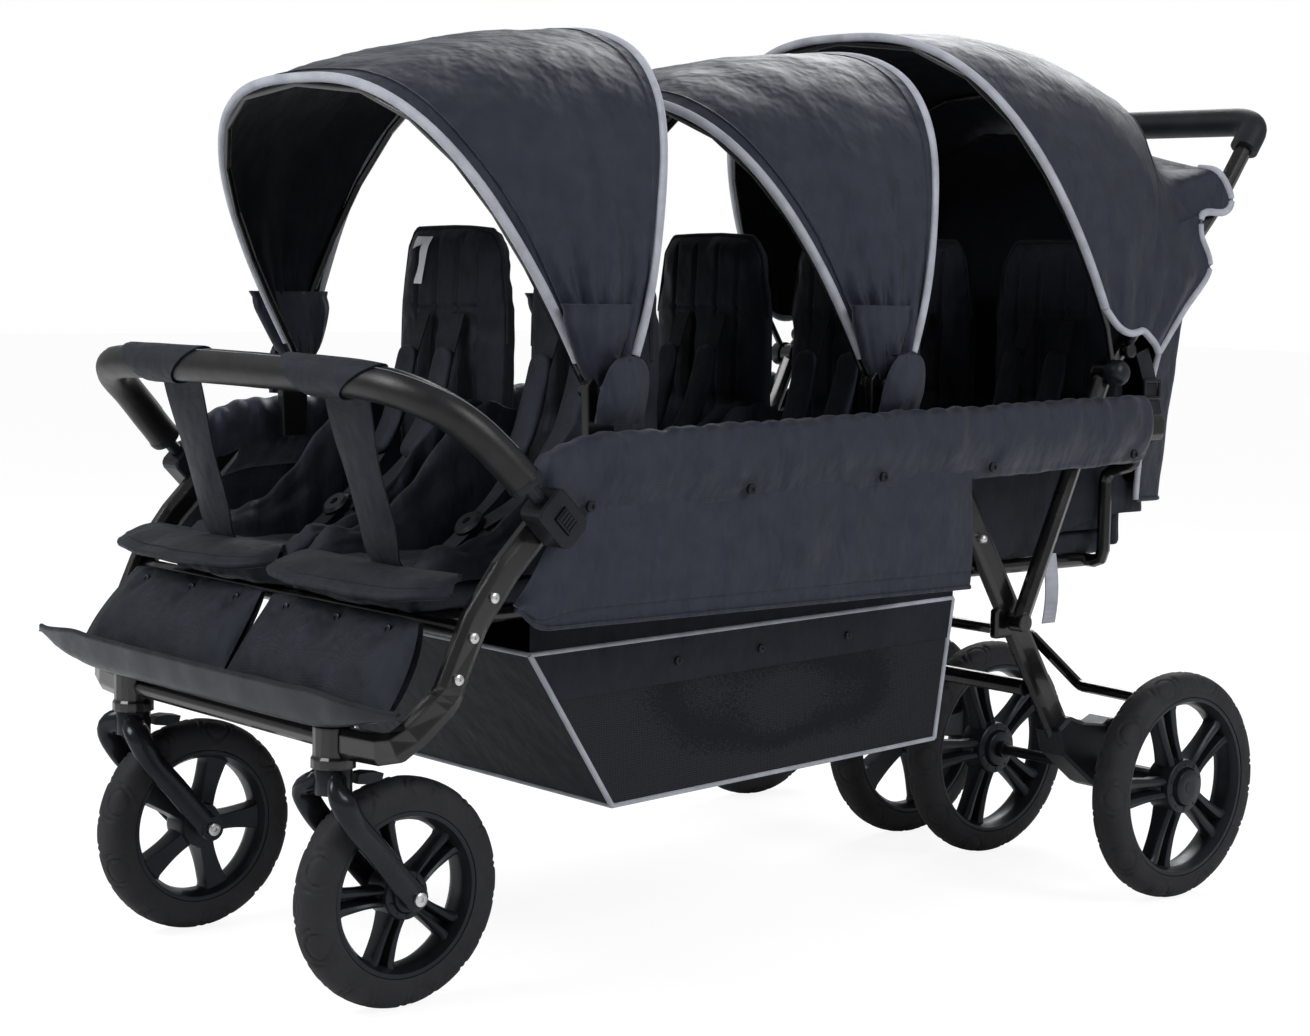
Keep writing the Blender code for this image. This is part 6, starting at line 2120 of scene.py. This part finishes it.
@dataclass
class Front:
    """The foot tray, and the covered bumper with its loops and straps."""

    bumper_line: tuple[tuple[float, float, float], ...] = (
        (0.368, -0.563, 0.578), (0.352, -0.622, 0.637), (0.322, -0.664, 0.668), (0.255, -0.687, 0.683),
        (0.10, -0.690, 0.686))

    def centre(self) -> list[Vector]:
        """Return the bumper's smooth centre line from left to right.

        Returns:
            Its points.
        """
        half = [Vector(p) for p in self.bumper_line]
        whole = half + [Vector((-p.x, p.y, p.z)) for p in reversed(half)]
        rows = [(k / (len(whole) - 1), *p) for k, p in enumerate(whole)]
        return [along(rows, k / 140) for k in range(141)]

    def bumper(self) -> None:
        """Build the stitched cover, its end collars and the stitch lines along its top."""
        line = self.centre()
        radii = [1.0 + 0.02 * folds(p, 40.0, 3.0) for p in line]
        cover = Bench.sweep("bumper_cover", line[2:-2], 0.0196, 28, radii=radii[2:-2])
        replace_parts(cover, "bumper_bar")
        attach(Bench.smooth(Finish.COVER.on(cover)), "bumper")
        ends = []
        for side in (1, -1):
            a, b = Vector((side * 0.368, -0.563, 0.578)), Vector((side * 0.368, -0.533, 0.548))
            spigot = [a.lerp(b, k / 6) for k in range(7)]
            ends.append(Bench.sweep("spigot", spigot, 0.0080, 14))
            rim = line[2] if side > 0 else line[-3]
            step = (line[2] - line[4]).normalized() if side > 0 else (line[-3] - line[-5]).normalized()
            collar = [rim - step * 0.004, rim, rim + step * 0.004, rim + step * 0.0052]
            ends.append(Bench.sweep("collar", collar, 0.0203, 24, radii=[0.98, 1.0, 0.94, 0.6]))
        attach(Finish.SMOOTH_PLASTIC.on(Bench.join("bumper_ends", ends)), "bumper")
        seams = []
        for turn in (-0.42, 0.42):
            path = []
            for k in range(8, 133, 2):
                ahead = (line[k + 2] - line[k - 2]).normalized()
                path.append(line[k] + round_bar(ahead, turn) * 0.0196 * (radii[k] - 0.005))
            seams.append(Bench.sweep("seam", path, 0.0007, 6))
        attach(Finish.THREAD.on(Bench.join("bumper_stitches", seams)), "bumper")

    def loops(self) -> None:
        """Build the two cloth sleeves round the bumper with the bands that run down to the seats."""
        line = self.centre()
        places = ((1, 0.190, (0.181, -0.600, 0.4765)), (-1, -0.150, (-0.158, -0.600, 0.4765)))
        for side, middle, foot in places:
            label = side_name(side)

            def spot(share: float, middle: float = middle) -> tuple[Vector, Vector]:
                """Return the bar's middle and direction at a share of the sleeve's width."""
                want = middle + (share - 0.5) * 0.088
                near = min(range(1, 140), key=lambda k: abs(line[k].x - want))
                ahead = (line[near + 1] - line[near - 1]).normalized()
                here = line[near] + ahead * ((want - line[near].x) / (ahead.x or 1))
                return here, ahead

            def sleeve(u: float, v: float) -> Vector:
                """Return a point of the sleeve."""
                turn = 2 * pi * v
                here, ahead = spot(0.5 + (u - 0.5) * (1.28 + 0.62 * cos(turn)))
                radius = 0.0216 + 0.0006 * folds(Vector((u, cos(turn), sin(turn))), 4.0, 2.0)
                return here + round_bar(ahead, turn) * radius

            made = Bench.sheet("bumper_sleeve_" + label, 16, 44, sleeve, 0.0018)
            Finish.SEAT.on(Bench.outward(made))
            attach(made, "bumper")
            top, _ = spot(0.5)
            rows = ((0.0, top.x, top.y + 0.018, top.z - 0.0125),
                    (0.3, top.x * 0.99, top.y + 0.034, top.z - 0.075),
                    (0.65, (top.x + foot[0]) / 2, -0.628, 0.530),
                    (0.9, foot[0], -0.614, 0.4875), (1.0, *foot))

            def band(u: float, v: float, rows: Knots = rows) -> Vector:
                """Return a point of the band, from the bar down to the seat."""
                here = along(rows, v)
                half = 0.041 - 0.013 * v + 0.002 * sin(v * 11)
                bow = 0.004 * (1 - (2 * u - 1) ** 2) * sin(pi * v)
                crease = 0.0010 * folds(Vector((u, v, 0.0)), 7.0, 1.0)
                return here + Vector(((2 * u - 1) * half, -bow, crease))

            made = Bench.sheet("crotch_band_" + label, 14, 40, band, 0.0020)
            Finish.SEAT.on(Bench.outward(made))
            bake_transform(made)

    def tray(self) -> None:
        """Build the foot tray's pressed plate with its turned-up rims and swept tips."""
        section = ((0.0, 0.012), (0.05, 0.004), (0.10, 0.0), (0.45, 0.0), (0.76, 0.0), (0.86, 0.0034),
                   (0.93, 0.012), (0.98, 0.030), (1.0, 0.040))

        def shape(u: float, v: float) -> Vector:
            """Return a point of the plate, from its back to its front rim."""
            share = 2 * u - 1
            a = abs(share)
            taper = max(0.0, (a - 0.76) / 0.24)
            front = -0.7645 + 0.002 + 0.022 * a ** 3 + 0.010 * taper
            back = -0.668 - 0.058 * min(1.0, max(0.0, (a - 0.70) / 0.14)) - 0.006 * taper
            up = along([(t, h, 0.0, 0.0) for t, h in section], v).x
            shrink = 1 - 0.86 * smooth_step(0.62, 1.0, a) if v > 0.8 else 1 - taper
            lift = 0.0245 * smooth_step(0.55, 1.0, a) ** 1.4
            crease = 0.0016 * folds(Vector((share * 0.5, v * 0.2, 1.0)), 18.0, 7.0)
            crease *= smooth_step(0.7, 0.95, v)
            return Vector((share * 0.380, back + (front - back) * v + crease, 0.3263 + lift + up * shrink))

        made = Bench.outward(Bench.sheet("foot_tray_plate", 120, 44, shape, 0.0042))
        Bench.modify(made, "BEVEL", width=0.0012, segments=2, limit_method="ANGLE", angle_limit=0.9)
        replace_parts(made, "foot_tray")
        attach(Bench.smooth(Finish.TRAY.on(made), 50.0), "frame")
        rim = [shape(0.004 + 0.992 * k / 120, 1.0) for k in range(121)]
        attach(Finish.WEBBING.on(Bench.sweep("foot_tray_edging", rim, 0.0030, 10)), "frame")

    def build(self) -> None:
        """Build the whole front."""
        self.bumper()
        self.loops()
        self.tray()
        LOG.info("front made")


@dataclass
class Handle:
    """The soft grip over the cross bar of the bent handle tube."""

    line: tuple[tuple[float, float], ...] = ((0.290, 0.362), (0.440, 0.680), (0.662, 0.906), (0.745, 1.018))
    half: float = 0.2955

    @staticmethod
    def rounded(points: Sequence[Vector], radius: float) -> list[Vector]:
        """Return a line of points with every inner corner rounded by an arc.

        Args:
            points: the corners.
            radius: how far from a corner its arc begins.

        Returns:
            The line.
        """
        path = [points[0]]
        for before, corner, after in zip(points, points[1:], points[2:]):
            into = min(radius, (corner - before).length * 0.49)
            out = min(radius, (after - corner).length * 0.49)
            a = corner + (before - corner).normalized() * into
            b = corner + (after - corner).normalized() * out
            for k in range(11):
                t = k / 10
                path.append(a * (1 - t) ** 2 + corner * 2 * t * (1 - t) + b * t ** 2)
        return path + [points[-1]]

    def build(self) -> None:
        """Build the grip over the handle's cross bar."""
        left = [Vector((self.half, y, z)) for y, z in self.line]
        down = left[3] + (left[2] - left[3]).normalized() * 0.048
        corners = [down, left[3], Vector((-self.half, *left[3].yz)), Vector((-down.x, down.y, down.z))]
        path = self.rounded(corners, 0.040)
        grip = Bench.sweep("handle_grip_foam", path, 0.0193, 24)
        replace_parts(grip, "handle_grip")
        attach(Bench.smooth(Finish.GRIP.on(grip)), "handle")
        LOG.info("handle made")


@dataclass
class Hardware:
    """Small fittings: tube rivets, leg bolts, hood knobs, the hood's buckled straps and a pull tab."""

    @staticmethod
    def fit(name: str, spots: Sequence[tuple[Point, Point]], radius: float, height: float,
            finish: Finish, body: str, dish: float = 0.0) -> None:
        """Set one round fitting at each spot and tie them all to a body.

        Args:
            name: name of the joined piece.
            spots: place and facing of each on the left side; the right side mirrors them.
            radius: radius of each head.
            height: height of each head.
            finish: what they are made of.
            body: the body that they ride on.
            dish: how deep the head is dished.
        """
        made = []
        for place, facing in spots:
            for side in (1, -1):
                where = Vector((place[0] * side, *place[1:]))
                toward = Vector((facing[0] * side, *facing[1:]))
                made.append(Bench.button(name, where, toward, radius, height, dish))
        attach(finish.on(Bench.join(name, made)), body)

    def hood_straps(self) -> None:
        """Build the two webbing straps that hold the hood's knees, each with its slide buckle."""
        straps, buckles = [], []
        for side in (1, -1):
            rows = ((0.0, 0.314, 0.492, 0.708), (0.3, 0.316, 0.506, 0.672), (0.7, 0.314, 0.524, 0.622),
                    (1.0, 0.310, 0.534, 0.590))

            def web(u: float, v: float, rows: Knots = rows, side: int = side) -> Vector:
                """Return a point of the webbing."""
                here = along(rows, v)
                return Vector((side * here.x, here.y + 0.024 * (u - 0.5), here.z + 0.008 * (u - 0.5)))

            straps.append(Bench.outward(Bench.sheet("web", 6, 24, web, 0.0016)))

            def slide(u: float, v: float, rows: Knots = rows, side: int = side) -> Vector:
                """Return a point of the slide buckle's square ring."""
                here = along(rows, 0.42)
                turn = 2 * pi * u
                ring = 0.0050 * sin(2 * pi * v)
                wide, high = 0.0150 + 0.0025 * cos(2 * pi * v), 0.0110 + 0.0025 * cos(2 * pi * v)
                square = max(abs(cos(turn)), abs(sin(turn)))
                return Vector((side * (here.x + 0.0022 + ring * 0.4), here.y + wide * cos(turn) / square,
                               here.z + high * sin(turn) / square))

            buckles.append(Bench.outward(Bench.sheet("slide", 48, 12, slide)))
        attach(Finish.WEBBING.on(Bench.join("hood_straps", straps)), "handle")
        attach(Finish.SMOOTH_PLASTIC.on(Bench.join("hood_strap_buckles", buckles)), "handle")

    def pull_tab(self) -> None:
        """Build the grey pull tab that hangs under the near rear seat."""

        def shape(u: float, v: float) -> Vector:
            """Return a point of the tab."""
            droop = 0.003 * sin(v * 2.4)
            return Vector((0.250 + 0.004 * sin(3 * v), 0.384 + 0.025 * u + droop, 0.4400 - 0.092 * v))

        made = Bench.sheet("pull_tab", 6, 20, shape, 0.0016)
        Finish.PIPING.on(Bench.outward(made))
        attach(made, "frame")

    def build(self) -> None:
        """Build all the small fittings."""
        out = (1.0, 0.0, 0.0)
        rivets = [((0.3487, y, z), out) for y, z in ((-0.592, 0.462), (-0.618, 0.422), (-0.637, 0.380))]
        self.fit("front_tube_rivets", rivets, 0.0058, 0.0030, Finish.STEEL, "frame", 0.2)
        knobs = [((0.3075, 0.440, 0.680), out)]
        self.fit("hood_knobs", knobs, 0.0170, 0.0150, Finish.SMOOTH_PLASTIC, "handle")
        self.fit("leg_bolts", [((0.2795, 0.229, 0.472), out)], 0.0062, 0.0060, Finish.STEEL, "rear_legs")
        self.hood_straps()
        self.pull_tab()
        LOG.info("hardware made")


NODE_FINISHES: dict[str, Finish] = {
    "black_tube": Finish.PAINT, "black_plastic": Finish.PLASTIC, "tyre_rubber": Finish.TYRE,
    "anthracite_cloth": Finish.ANTHRACITE, "black_cloth": Finish.SEAT, "basket_mesh": Finish.NET,
    "stitched_cover": Finish.COVER,
}


def dress_nodes(nodes: dict[str, Piece]) -> None:
    """Give every CAD node the finish that its CAD material names.

    Args:
        nodes: the CAD nodes by name.
    """
    for name, node in nodes.items():
        given = node.data.materials[0].name.split(".")[0] if node.data.materials else "black_plastic"
        NODE_FINISHES.get(given, Finish.PLASTIC).on(node)
        LOG.info("dressed %s in %s", name, given)


def main() -> None:
    """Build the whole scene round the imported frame."""
    logging.basicConfig(level=logging.INFO, format="%(name)s: %(message)s")
    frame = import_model()
    bpy.ops.object.select_all(action="DESELECT")
    dress_nodes(frame["nodes"])
    Canopy(1, (-0.420, 0.672)).build()
    Canopy(2, (0.015, 0.672)).build()
    Hood().build()
    Wheels().build()
    Seating(frame["nodes"]).build()
    Basket().build()
    Front().build()
    Handle().build()
    Hardware().build()
    for side in (1, -1):
        SideCover(side).build()
    Studio().build()


if __name__ == "__main__":
    main()
